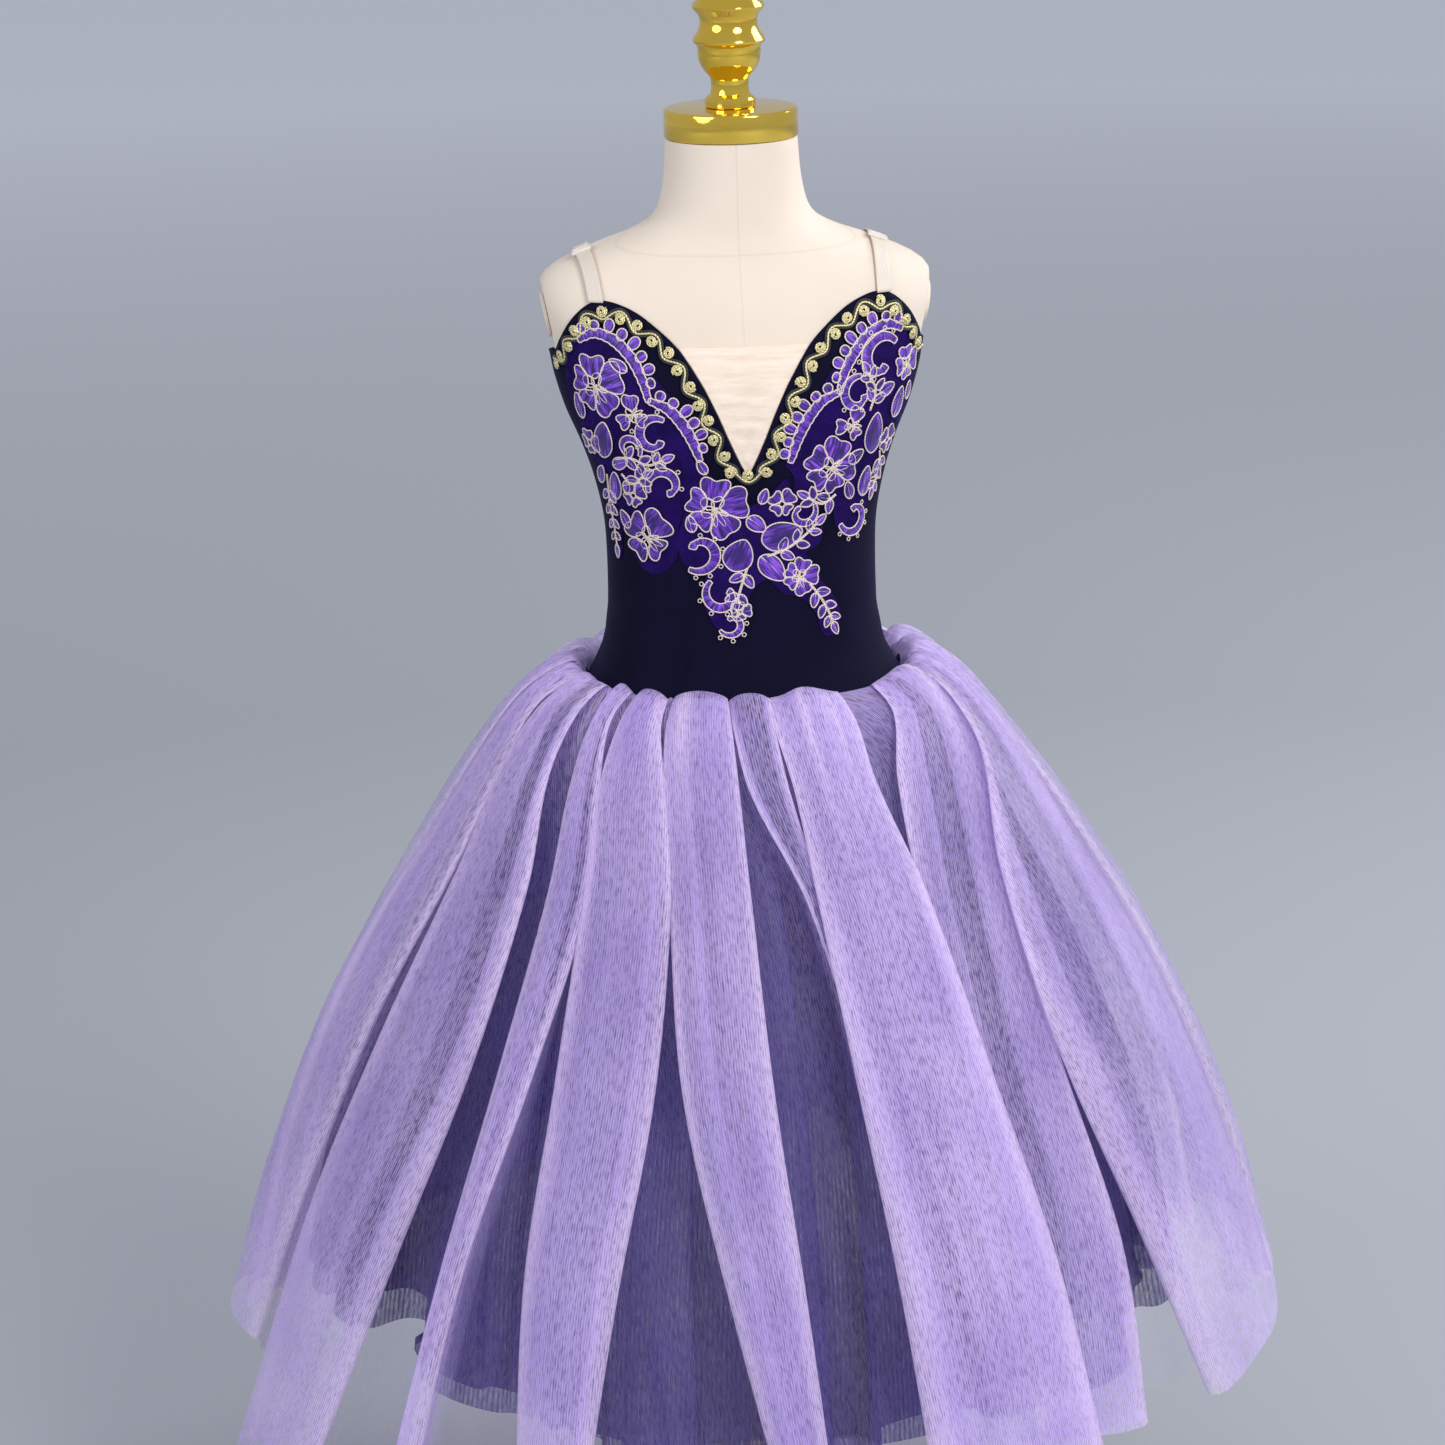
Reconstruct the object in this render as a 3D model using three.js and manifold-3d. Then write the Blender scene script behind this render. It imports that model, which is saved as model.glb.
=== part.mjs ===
// A child's ballet dress on an armless dress form, in millimetres, +Z up, front towards -Y.
// The origin is on the floor, under the middle of the stand's base.
//
// Garment: a stretch bodice cut as a front and a back, with a deep V between two rounded cups, a skin-tone
// mesh insert in the V, elastic shoulder straps with plastic sliders, scroll braid along the neckline,
// corded lace sewn on the bust in three pieces, and three gathered skirt layers of tulle.
// Form: a padded torso with two arm plates, a turned cap and finial on the neck, a pole and a round base.
import * as THREE from "three";
import { mergeVertices } from "three/addons/utils/BufferGeometryUtils.js";
import Module from "manifold-3d";

const wasm = await Module();
wasm.setup();

// Driving dimensions
const CLEAR = 0.3; // air between pieces that touch
const CLOTH = 1.2; // wall of the bodice and of the skirt layers
const BODICE_OUT = CLEAR + CLOTH; // outer face of the bodice, from the form
const LACE_OUT = BODICE_OUT + 0.6; // underside of lace and braid, from the form
const LACE_NET = 0.8; // wall of the lace's net ground
const LACE_RELIEF = 2.2; // top of the corded motifs, above the underside of the lace
const BRAID_THICK = 1.3;
const HEM_Z = 198; // lower edge of the lilac layer
const HEM_RADIUS = 376;
const NAVY_HEM_Z = 248;
const FORM_BOTTOM_Z = 500;
const NECK_TOP_Z = 1050;
const DEGREE = Math.PI / 180;

// The form's cross-sections: superellipses, each with its half width and its depth to the front and back
const TORSO = [
  { z: 500, half: 92, front: 74, back: 76 },
  { z: 512, half: 107, front: 87, back: 89 },
  { z: 560, half: 119, front: 96, back: 101 },
  { z: 650, half: 118, front: 94, back: 98 },
  { z: 674, half: 111, front: 90, back: 90 },
  { z: 690, half: 102, front: 84, back: 82 },
  { z: 704, half: 95.5, front: 80, back: 76 },
  { z: 720, half: 91.5, front: 77, back: 73 },
  { z: 737, half: 89.5, front: 75.5, back: 71 },
  { z: 778, half: 89.3, front: 75.5, back: 71 },
  { z: 800, half: 91, front: 77, back: 73 },
  { z: 828, half: 97, front: 80, back: 77 },
  { z: 852, half: 105, front: 82, back: 81 },
  { z: 874, half: 114, front: 83, back: 84 },
  { z: 896, half: 120.5, front: 82, back: 85 },
  { z: 914, half: 124, front: 79, back: 84 },
  { z: 940, half: 132, front: 70, back: 79 },
  { z: 952, half: 132, front: 64, back: 75 },
  { z: 964, half: 126, front: 57, back: 69 },
  { z: 973, half: 111, front: 52, back: 64 },
  { z: 981, half: 91, front: 49, back: 58 },
  { z: 988, half: 71, front: 46.5, back: 53 },
  { z: 998, half: 54, front: 45, back: 49 },
  { z: 1018, half: 46.5, front: 43.5, back: 45.5 },
  { z: 1050, half: 43.5, front: 43, back: 43.5 },
];
const ROUNDNESS = 2.25;

// Value of one column of a table at a key, by a cubic through its rows
function alongTable(rows, key, at, column) {
  let i = 0;
  while (i < rows.length - 2 && (rows[i + 1][key] - at) * (rows[1][key] - rows[0][key]) < 0) i += 1;
  const [p, q] = [rows[i], rows[i + 1]];
  const before = rows[Math.max(i - 1, 0)];
  const after = rows[Math.min(i + 2, rows.length - 1)];
  const step = q[key] - p[key];
  const slopeIn = ((q[column] - before[column]) / (q[key] - before[key])) * step;
  const slopeOut = ((after[column] - p[column]) / (after[key] - p[key])) * step;
  const t = THREE.MathUtils.clamp((at - p[key]) / step, 0, 1);
  const [t2, t3] = [t * t, t * t * t];
  return (
    (2 * t3 - 3 * t2 + 1) * p[column] +
    (t3 - 2 * t2 + t) * slopeIn +
    (3 * t2 - 2 * t3) * q[column] +
    (t3 - t2) * slopeOut
  );
}

const torsoAt = (z, column) => alongTable(TORSO, "z", z, column);

// How far a point lies from the axis of its section, 1 on the form's surface
function fullness(x, y, z) {
  const deep = torsoAt(z, y < 0 ? "front" : "back");
  return Math.abs(x / torsoAt(z, "half")) ** ROUNDNESS + Math.abs(y / deep) ** ROUNDNESS;
}

function outward(point) {
  const [x, y, z] = point.toArray();
  const step = 0.5;
  return new THREE.Vector3(
    fullness(x + step, y, z) - fullness(x - step, y, z),
    fullness(x, y + step, z) - fullness(x, y - step, z),
    fullness(x, y, z + step) - fullness(x, y, z - step),
  ).normalize();
}

// Point on the form at an angle from the front (positive towards +X) and a height, moved out by a distance
function onBody(angle, z, out = 0) {
  const power = 2 / ROUNDNESS;
  const [s, c] = [Math.sin(angle), Math.cos(angle)];
  const x = Math.sign(s) * Math.abs(s) ** power * torsoAt(z, "half");
  const y = -Math.sign(c) * Math.abs(c) ** power * torsoAt(z, c > 0 ? "front" : "back");
  const point = new THREE.Vector3(x, y, z);
  return out ? point.addScaledVector(outward(point), out) : point;
}

// Point on the bodice's front at a distance round the body from the centre line, at a height
const GIRTH_STEPS = 60;
function roundFront(girth, z, out) {
  const side = Math.sign(girth) || 1;
  let walked = 0;
  let last = onBody(0, z);
  for (let i = 1; i <= GIRTH_STEPS; i += 1) {
    const angle = (side * i * 120 * DEGREE) / GIRTH_STEPS;
    const next = onBody(angle, z);
    const step = next.distanceTo(last);
    if (walked + step >= Math.abs(girth) || i === GIRTH_STEPS) {
      const part = THREE.MathUtils.clamp((Math.abs(girth) - walked) / step, 0, 1);
      return onBody(angle - (side * (1 - part) * 120 * DEGREE) / GIRTH_STEPS, z, out);
    }
    walked += step;
    last = next;
  }
  return last;
}

function meshOf(name, geometry, finish) {
  const made = new THREE.Mesh(geometry, new THREE.MeshStandardMaterial(finish));
  made.name = name;
  return made;
}

function geometryOf(points, triangles) {
  const positions = new Float32Array(points.flatMap((p) => p.toArray()));
  let volume = 0;
  triangles.forEach(([a, b, c]) => {
    volume += points[a].dot(points[b].clone().cross(points[c]));
  });
  const faces = volume < 0 ? triangles.map(([a, b, c]) => [a, c, b]) : triangles;
  return new THREE.BufferGeometry()
    .setAttribute("position", new THREE.BufferAttribute(positions, 3))
    .setIndex(faces.flat());
}

// A closed wall between two grids of points, rows of equal length; a loop joins its last column to its first
function wall(outer, inner, loop) {
  const [rows, columns] = [outer.length, outer[0].length];
  const points = [...outer.flat(), ...inner.flat()];
  const at = (face, row, column) => (face * rows + row) * columns + (column % columns);
  const triangles = [];
  const quad = (a, b, c, d) => triangles.push([a, b, c], [a, c, d]);
  const spans = loop ? columns : columns - 1;
  for (let r = 0; r < rows - 1; r += 1)
    for (let c = 0; c < spans; c += 1) {
      quad(at(0, r, c), at(0, r, c + 1), at(0, r + 1, c + 1), at(0, r + 1, c));
      quad(at(1, r, c), at(1, r + 1, c), at(1, r + 1, c + 1), at(1, r, c + 1));
    }
  for (let c = 0; c < spans; c += 1) {
    quad(at(0, 0, c), at(1, 0, c), at(1, 0, c + 1), at(0, 0, c + 1));
    quad(at(0, rows - 1, c), at(0, rows - 1, c + 1), at(1, rows - 1, c + 1), at(1, rows - 1, c));
  }
  if (!loop)
    for (let r = 0; r < rows - 1; r += 1) {
      quad(at(0, r, 0), at(0, r + 1, 0), at(1, r + 1, 0), at(1, r, 0));
      const last = columns - 1;
      quad(at(0, r, last), at(1, r, last), at(1, r + 1, last), at(0, r + 1, last));
    }
  return geometryOf(points, triangles);
}

// A solid stacked from closed rings, with a flat fan at each end
function stack(rings) {
  const count = rings[0].length;
  const points = rings.flat();
  const ends = [rings[0], rings.at(-1)].map((ring) =>
    ring.reduce((sum, p) => sum.add(p), new THREE.Vector3()).divideScalar(count),
  );
  points.push(...ends);
  const [low, high] = [points.length - 2, points.length - 1];
  const triangles = [];
  for (let c = 0; c < count; c += 1) {
    const d = (c + 1) % count;
    for (let r = 0; r < rings.length - 1; r += 1) {
      const [a, b] = [r * count, (r + 1) * count];
      triangles.push([a + c, a + d, b + d], [a + c, b + d, b + c]);
    }
    const top = (rings.length - 1) * count;
    triangles.push([low, d, c], [high, top + c, top + d]);
  }
  return geometryOf(points, triangles);
}

function solid(geometry) {
  const bare = geometry.clone();
  bare.deleteAttribute("normal");
  bare.deleteAttribute("uv");
  const merged = mergeVertices(bare, 1e-4);
  return new wasm.Manifold(
    new wasm.Mesh({
      numProp: 3,
      vertProperties: new Float32Array(merged.attributes.position.array),
      triVerts: new Uint32Array(merged.index.array),
    }),
  );
}

function geometryFrom(body) {
  const mesh = body.getMesh();
  return new THREE.BufferGeometry()
    .setAttribute("position", new THREE.BufferAttribute(new Float32Array(mesh.vertProperties), 3))
    .setIndex(new THREE.BufferAttribute(new Uint32Array(mesh.triVerts), 1));
}

const part = new THREE.Group();

// Every garment wall and the form share one grid of angles and heights, so their faces run parallel
const BODY_SIDES = 32;
const BODY_ANGLES = Array.from({ length: BODY_SIDES }, (_, i) => (i * 2 * Math.PI) / BODY_SIDES);
const LINEN = { color: 0xe9ddd0, roughness: 0.85, metalness: 0 };
const ARM_CUT = { low: { x: 118.8, z: 905 }, high: { x: 127.5, z: 950 } };
const ARM_CUT_SIZE = 120;
const ARM_TILT = Math.atan2(ARM_CUT.high.x - ARM_CUT.low.x, ARM_CUT.high.z - ARM_CUT.low.z);

const bodyRings = (levels, out) => levels.map((z) => BODY_ANGLES.map((angle) => onBody(angle, z, out)));

// A group of its own that looks out of one shoulder: its Z axis leaves the arm plate
function shoulderFrame(side) {
  const frame = new THREE.Object3D();
  frame.position.set(
    (side * (ARM_CUT.low.x + ARM_CUT.high.x)) / 2,
    0,
    (ARM_CUT.low.z + ARM_CUT.high.z) / 2,
  );
  frame.rotation.set(0, side * (Math.PI / 2 + ARM_TILT), 0);
  frame.updateMatrixWorld(true);
  return frame;
}

function torso() {
  let body = solid(stack(bodyRings(TORSO.map((row) => row.z), 0)));
  [-1, 1].forEach((side) => {
    const block = new THREE.BoxGeometry(ARM_CUT_SIZE, 2 * ARM_CUT_SIZE, ARM_CUT_SIZE);
    block.translate(0, 0, ARM_CUT_SIZE / 2);
    body = body.subtract(solid(block.applyMatrix4(shoulderFrame(side).matrixWorld)));
  });
  return geometryFrom(body);
}

// Arm plates: ovals laid on the flats
const ARM_PLATE = { width: 44, height: 30, thick: 2.4, lift: 8.5, sides: 20 };
function armPlate(side) {
  const [across, deep] = [ARM_PLATE.height / 2, ARM_PLATE.width / 2];
  const outline = new THREE.Shape().absellipse(0, 0, across, deep, 0, 2 * Math.PI);
  const plate = new THREE.ExtrudeGeometry(outline, {
    depth: ARM_PLATE.thick,
    bevelEnabled: false,
    curveSegments: ARM_PLATE.sides / 2,
  });
  plate.translate(-side * ARM_PLATE.lift, 0, CLEAR);
  return plate.applyMatrix4(shoulderFrame(side).matrixWorld);
}

part.add(meshOf("form_torso", torso(), LINEN));
part.add(meshOf("form_arm_plate_left", armPlate(-1), LINEN));
part.add(meshOf("form_arm_plate_right", armPlate(1), LINEN));

// Turned metalwork: neck cap, finial, pole and base, each a profile of radius and height round the axis
const GOLD = { color: 0xd9a520, roughness: 0.18, metalness: 1 };
const CAP_TOP_Z = NECK_TOP_Z + CLEAR + 19;
const NECK_CAP = [
  { r: 0, z: NECK_TOP_Z + CLEAR },
  { r: 43.2, z: NECK_TOP_Z + CLEAR },
  { r: 44.4, z: NECK_TOP_Z + CLEAR + 1.2 },
  { r: 44.4, z: CAP_TOP_Z - 2.2 },
  { r: 42.2, z: CAP_TOP_Z },
  { r: 0, z: CAP_TOP_Z },
];
const FINIAL_BASE_Z = CAP_TOP_Z + CLEAR;
const FINIAL = [
  { r: 0, up: 0 },
  { r: 16.6, up: 0 },
  { r: 16.8, up: 5 },
  { r: 12.8, up: 9 },
  { r: 12.8, up: 19 },
  { r: 20.3, up: 30 },
  { r: 21, up: 39 },
  { r: 24, up: 43 },
  { r: 19, up: 57 },
  { r: 24, up: 66 },
  { r: 14, up: 80 },
  { r: 16, up: 90 },
  { r: 10, up: 105 },
  { r: 0, up: 111 },
];
const POLE_RADIUS = 12.5;
const BASE_TOP_Z = 26;
const BASE = [
  { r: 0, z: 0 },
  { r: 148, z: 0 },
  { r: 150, z: 3 },
  { r: 149, z: 9 },
  { r: 130, z: 14 },
  { r: 60, z: 19 },
  { r: 32, z: BASE_TOP_Z },
  { r: 0, z: BASE_TOP_Z },
];
const POLE_FOOT_Z = BASE_TOP_Z + CLEAR;
const POLE = [
  { r: 0, z: POLE_FOOT_Z },
  { r: 25, z: POLE_FOOT_Z },
  { r: 23, z: POLE_FOOT_Z + 12 },
  { r: POLE_RADIUS, z: POLE_FOOT_Z + 26 },
  { r: POLE_RADIUS, z: 268 },
  { r: 17.5, z: 274 },
  { r: 17.5, z: 300 },
  { r: POLE_RADIUS, z: 306 },
  { r: POLE_RADIUS, z: 478 },
  { r: 27, z: 492 },
  { r: 27, z: FORM_BOTTOM_Z - CLEAR },
  { r: 0, z: FORM_BOTTOM_Z - CLEAR },
];

function turned(profile, sides) {
  const points = profile.map((row) => new THREE.Vector2(row.r, row.z));
  return new THREE.LatheGeometry(points, sides).rotateX(Math.PI / 2);
}

const finialProfile = FINIAL.map((row) => ({ r: row.r, z: FINIAL_BASE_Z + row.up }));
part.add(meshOf("form_neck_cap", turned(NECK_CAP, 28), GOLD));
part.add(meshOf("form_finial", turned(finialProfile, 16), GOLD));
part.add(meshOf("form_pole", turned(POLE, 16), GOLD));
part.add(meshOf("form_base", turned(BASE, 32), GOLD));

// Upper edges, half of each: distance from the centre line and height
const NECKLINE = [
  { x: 0, z: 839.4 },
  { x: 3, z: 843 },
  { x: 6, z: 849 },
  { x: 12, z: 862.5 },
  { x: 19, z: 879.5 },
  { x: 27.5, z: 897.5 },
  { x: 36, z: 912 },
  { x: 44, z: 923.8 },
  { x: 55, z: 934.5 },
  { x: 68, z: 944.5 },
  { x: 80, z: 950 },
  { x: 90, z: 952 },
  { x: 99, z: 950 },
  { x: 107, z: 944 },
  { x: 113.5, z: 936 },
  { x: 119, z: 925 },
  { x: 123, z: 914 },
  { x: 150, z: 908 },
];
const BACK_TOP = [
  { x: 0, z: 868 },
  { x: 30, z: 872 },
  { x: 60, z: 881 },
  { x: 84, z: 889 },
  { x: 104, z: 892 },
  { x: 118, z: 902 },
  { x: 123, z: 910 },
  { x: 150, z: 911 },
];
const VELVET = { color: 0x141130, roughness: 0.8, metalness: 0 };
const BODICE_HEM_Z = 664;
const BODICE_LEVELS = [BODICE_HEM_Z, ...TORSO.map((row) => row.z).filter((z) => z > 670 && z < 962)];

// A plate seen from the front that spans a range of depth, to trim a wall that runs round the body
function trimmer(points, nearY, farY) {
  const outline = new THREE.Shape(points.map((p) => new THREE.Vector2(p.x, p.z)));
  const plate = new THREE.ExtrudeGeometry(outline, { depth: farY - nearY, bevelEnabled: false });
  return solid(plate.rotateX(Math.PI / 2).translate(0, farY, 0));
}

const acrossBoth = (half) => [
  ...half.slice(1).map((p) => ({ x: -p.x, z: p.z })).reverse(),
  ...half,
];

function bodyShell(low, high, levels) {
  return solid(wall(bodyRings(levels, high), bodyRings(levels, low), true));
}

const below = (half, z) => [...acrossBoth(half), { x: 150, z }, { x: -150, z }].reverse();
const bodiceShell = bodyShell(CLEAR, BODICE_OUT, BODICE_LEVELS);
const front = bodiceShell.intersect(trimmer(below(NECKLINE, 600), -200, -CLEAR / 2));
const back = bodiceShell.intersect(trimmer(below(BACK_TOP, 600), CLEAR / 2, 200));
part.add(meshOf("bodice_front", geometryFrom(front), VELVET));
part.add(meshOf("bodice_back", geometryFrom(back), VELVET));

// Mesh insert in the V, clear of the neckline's edges, its top edge straight
const NUDE = { color: 0xf2dfcc, roughness: 0.7, metalness: 0 };
const INSERT_TOP_Z = 923.5;
const INSERT_WALL = 1;
const INSERT_LEVELS = [826, 834, 852, 874, 896, 914, 928];
const insertHalf = NECKLINE.filter((p) => p.x > 0 && p.x < 40);
const insertOutline = [
  ...acrossBoth([{ x: 0, z: 841.2 }, ...insertHalf.map((p) => ({ x: p.x - 2 * CLEAR, z: p.z + CLEAR }))]),
  { x: 43, z: INSERT_TOP_Z },
  { x: -43, z: INSERT_TOP_Z },
].reverse();
const insertShell = bodyShell(CLEAR, CLEAR + INSERT_WALL, INSERT_LEVELS);
part.add(meshOf("neck_insert", geometryFrom(insertShell.intersect(trimmer(insertOutline, -200, 0))), NUDE));

// Shoulder straps: narrow elastic over the form's shoulder, from the cup's peak to the top of the back
const ELASTIC = { color: 0xf4ece6, roughness: 0.5, metalness: 0 };
const STRAP = { x: 94, width: 9.6, wall: 0.9, seat: 0.6, frontZ: 953, backZ: 893.5, steps: 7 };
const shoulderTopAt = (x) => {
  const rows = TORSO.filter((row) => row.z >= 952);
  let i = 0;
  while (rows[i + 1].half > x) i += 1;
  return rows[i].z + ((rows[i].half - x) / (rows[i].half - rows[i + 1].half)) * (rows[i + 1].z - rows[i].z);
};

// Point of the strap: along runs from -1 at the front to 1 at the back, 0 on the shoulder's ridge
function overShoulder(x, along, out) {
  let top = shoulderTopAt(x);
  for (let i = 0; i < 20; i += 1) top += (torsoAt(top, "half") - x) * 0.3;
  const low = along < 0 ? STRAP.frontZ : STRAP.backZ;
  const z = low + (top - low) * (1 - along * along);
  const share = Math.max(0, 1 - (x / torsoAt(z, "half")) ** ROUNDNESS) ** (1 / ROUNDNESS);
  const y = along < 0 ? -share * torsoAt(z, "front") : share * torsoAt(z, "back");
  const point = new THREE.Vector3(x, y, z);
  return point.addScaledVector(outward(point), out);
}

function strap(side) {
  const face = (out) =>
    Array.from({ length: 2 * STRAP.steps + 1 }, (_, i) =>
      [-0.5, 0, 0.5].map((across) => {
        const point = overShoulder(STRAP.x + across * STRAP.width, i / STRAP.steps - 1, out);
        point.x *= side;
        return point;
      }),
    );
  return wall(face(STRAP.seat + STRAP.wall), face(STRAP.seat), false);
}

// Slider: a small two-slot plate lying on the strap at the shoulder's ridge
const SLIDER = { width: 13.5, length: 9, thick: 1.8, slotWidth: 10.6, slotLength: 2.4, at: -0.12 };
function slider(side) {
  const outline = new THREE.Shape();
  const [w, l] = [SLIDER.width / 2, SLIDER.length / 2];
  outline.moveTo(-w, -l + 1).lineTo(-w + 1, -l).lineTo(w - 1, -l).lineTo(w, -l + 1);
  outline.lineTo(w, l - 1).lineTo(w - 1, l).lineTo(-w + 1, l).lineTo(-w, l - 1);
  [-1, 1].forEach((end) => {
    const middle = end * (l - 1.2 - SLIDER.slotLength / 2);
    const [sw, sl] = [SLIDER.slotWidth / 2, SLIDER.slotLength / 2];
    const slot = new THREE.Path().moveTo(-sw, middle - sl).lineTo(-sw, middle + sl);
    outline.holes.push(slot.lineTo(sw, middle + sl).lineTo(sw, middle - sl));
  });
  const plate = new THREE.ExtrudeGeometry(outline, { depth: SLIDER.thick, bevelEnabled: false });
  const surface = overShoulder(STRAP.x, SLIDER.at, 0);
  const up = outward(surface);
  const [ahead, behind] = [SLIDER.at - 0.1, SLIDER.at + 0.1].map((at) => overShoulder(STRAP.x, at, 0));
  const run = behind.sub(ahead).normalize();
  const across = new THREE.Vector3().crossVectors(run, up).normalize();
  const along = new THREE.Vector3().crossVectors(up, across);
  const seat = overShoulder(STRAP.x, SLIDER.at, STRAP.seat + STRAP.wall + 2 * CLEAR);
  plate.applyMatrix4(new THREE.Matrix4().makeBasis(across, along, up).setPosition(seat));
  return side > 0 ? plate : mirrored(plate);
}

function mirrored(geometry) {
  const flat = geometry.index ? geometry.toNonIndexed() : geometry.clone();
  const p = flat.attributes.position;
  for (let i = 0; i < p.count; i += 3) {
    const corners = [0, 1, 2].map((k) => new THREE.Vector3().fromBufferAttribute(p, i + k));
    [0, 2, 1].forEach((from, k) => p.setXYZ(i + k, -corners[from].x, corners[from].y, corners[from].z));
  }
  return flat;
}

part.add(meshOf("strap_left", strap(-1), ELASTIC));
part.add(meshOf("strap_right", strap(1), ELASTIC));
part.add(meshOf("slider_left", slider(-1), ELASTIC));
part.add(meshOf("slider_right", slider(1), ELASTIC));

// Flat trims are drawn as outlines of girth (distance round the body from the centre line) and height,
// extruded outwards, joined, cut into small triangles and laid on the body.
const FLAT_SPAN = { girth: 13, height: 26 };

function slab(points, low, high) {
  const shape = new THREE.Shape(points);
  const made = new THREE.ExtrudeGeometry(shape, { depth: high - low, bevelEnabled: false });
  return solid(made.translate(0, 0, low));
}

// Splits every edge too long to bend round the body at its middle, alike on both sides of the edge
function refined(geometry) {
  const points = [];
  const source = geometry.attributes.position;
  for (let i = 0; i < source.count; i += 1) points.push(new THREE.Vector3().fromBufferAttribute(source, i));
  let faces = [];
  const index = geometry.index.array;
  for (let i = 0; i < index.length; i += 3) faces.push([index[i], index[i + 1], index[i + 2]]);
  for (let split = true; split; ) {
    split = false;
    const middles = new Map();
    const middle = (a, b) => {
      const run = points[a].clone().sub(points[b]);
      if (Math.hypot(run.x / FLAT_SPAN.girth, run.y / FLAT_SPAN.height) <= 1) return -1;
      const key = `${Math.min(a, b)}/${Math.max(a, b)}`;
      if (!middles.has(key)) {
        middles.set(key, points.length);
        points.push(points[a].clone().lerp(points[b], 0.5));
      }
      return middles.get(key);
    };
    const next = [];
    faces.forEach((face) => {
      const cuts = face.map((a, k) => middle(a, face[(k + 1) % 3]));
      const count = cuts.filter((m) => m >= 0).length;
      if (count === 0) {
        next.push(face);
        return;
      }
      split = true;
      const turn = count === 1 ? cuts.findIndex((m) => m >= 0) : count === 2 ? (cuts.indexOf(-1) + 1) % 3 : 0;
      const [a, b, c] = [0, 1, 2].map((k) => face[(k + turn) % 3]);
      const [ab, bc, ca] = [0, 1, 2].map((k) => cuts[(k + turn) % 3]);
      if (count === 1) next.push([a, ab, c], [ab, b, c]);
      else if (count === 2) next.push([a, ab, c], [ab, bc, c], [ab, b, bc]);
      else next.push([a, ab, ca], [ab, b, bc], [ca, bc, c], [ab, bc, ca]);
    });
    faces = next;
  }
  return { points, faces };
}

// Lays a flat solid on the body: x is girth, y is height, z is the distance above the bodice's clearance
function laid(body) {
  const { points, faces } = refined(geometryFrom(body));
  return geometryOf(points.map((p) => roundFront(p.x, p.y, LACE_OUT + p.z)), faces);
}

// Angle at which the form's front is a distance x from the centre line
function angleOf(x, z) {
  return Math.asin(Math.min(x / torsoAt(z, "half"), 1) ** (ROUNDNESS / 2));
}

// Girth of a point of the bodice's front
function girthOf(x, z) {
  const end = angleOf(x, z);
  let girth = 0;
  let last = onBody(0, z);
  for (let i = 1; i <= 40; i += 1) {
    const next = onBody((end * i) / 40, z);
    girth += next.distanceTo(last);
    last = next;
  }
  return girth;
}

// Braid along the neckline: a wavy band with a coiled rosette in each bend
const BRAID = {
  inset: 8, // from the neckline's edge to the braid's middle
  half: 3.4,
  swing: 2.1,
  wave: 24.8,
  rosette: 3.7,
  top: 2.3,
  sides: 6,
  samples: 2,
  room: 14.2, // from the neckline's edge to the lace
};
const BRASS = { color: 0xdccb7a, roughness: 0.35, metalness: 0.6 };

// Line along the neckline, a distance inside its edge, over both cups
const INSET_STEPS = 24;
function insetLine(distance) {
  const edge = NECKLINE.slice(1, -1).map((p) => new THREE.Vector3(girthOf(p.x, p.z), p.z, 0));
  const curve = new THREE.CatmullRomCurve3(edge);
  const line = [];
  for (let i = 0; i <= INSET_STEPS; i += 1) {
    const t = curve.getTangentAt(i / INSET_STEPS);
    const p = curve.getPointAt(i / INSET_STEPS).add(new THREE.Vector3(t.y, -t.x, 0).multiplyScalar(distance));
    if (p.x > 1) line.push(p);
  }
  return [...line.map((p) => new THREE.Vector3(-p.x, p.y, 0)).reverse(), ...line];
}

function braid() {
  const path = new THREE.CatmullRomCurve3(insetLine(BRAID.inset));
  const length = path.getLength();
  const waves = Math.round(length / BRAID.wave);
  const count = waves * BRAID.samples * 2;
  const edges = [[], []];
  const at = (share, off) => {
    const t = path.getTangentAt(share);
    const p = path.getPointAt(share);
    return new THREE.Vector2(p.x - t.y * off, p.y + t.x * off);
  };
  for (let i = 0; i <= count; i += 1) {
    const swing = BRAID.swing * Math.sin((i / count) * waves * 2 * Math.PI);
    edges[0].push(at(i / count, swing + BRAID.half));
    edges[1].push(at(i / count, swing - BRAID.half));
  }
  let band = slab([...edges[0], ...edges[1].reverse()], 0, BRAID_THICK);
  for (let i = 0; i < waves * 2; i += 1) {
    const side = i % 2 ? 1 : -1;
    const middle = at((i + 0.5) / (waves * 2), side * -1.2);
    const disc = Array.from({ length: BRAID.sides }, (_, k) => {
      const turn = (k * 2 * Math.PI) / BRAID.sides;
      return new THREE.Vector2(
        middle.x + BRAID.rosette * Math.cos(turn),
        middle.y + BRAID.rosette * Math.sin(turn),
      );
    });
    band = band.add(slab(disc, BRAID_THICK / 2, BRAID.top));
  }
  return laid(band);
}

part.add(meshOf("neckline_braid", braid(), BRASS));

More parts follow.
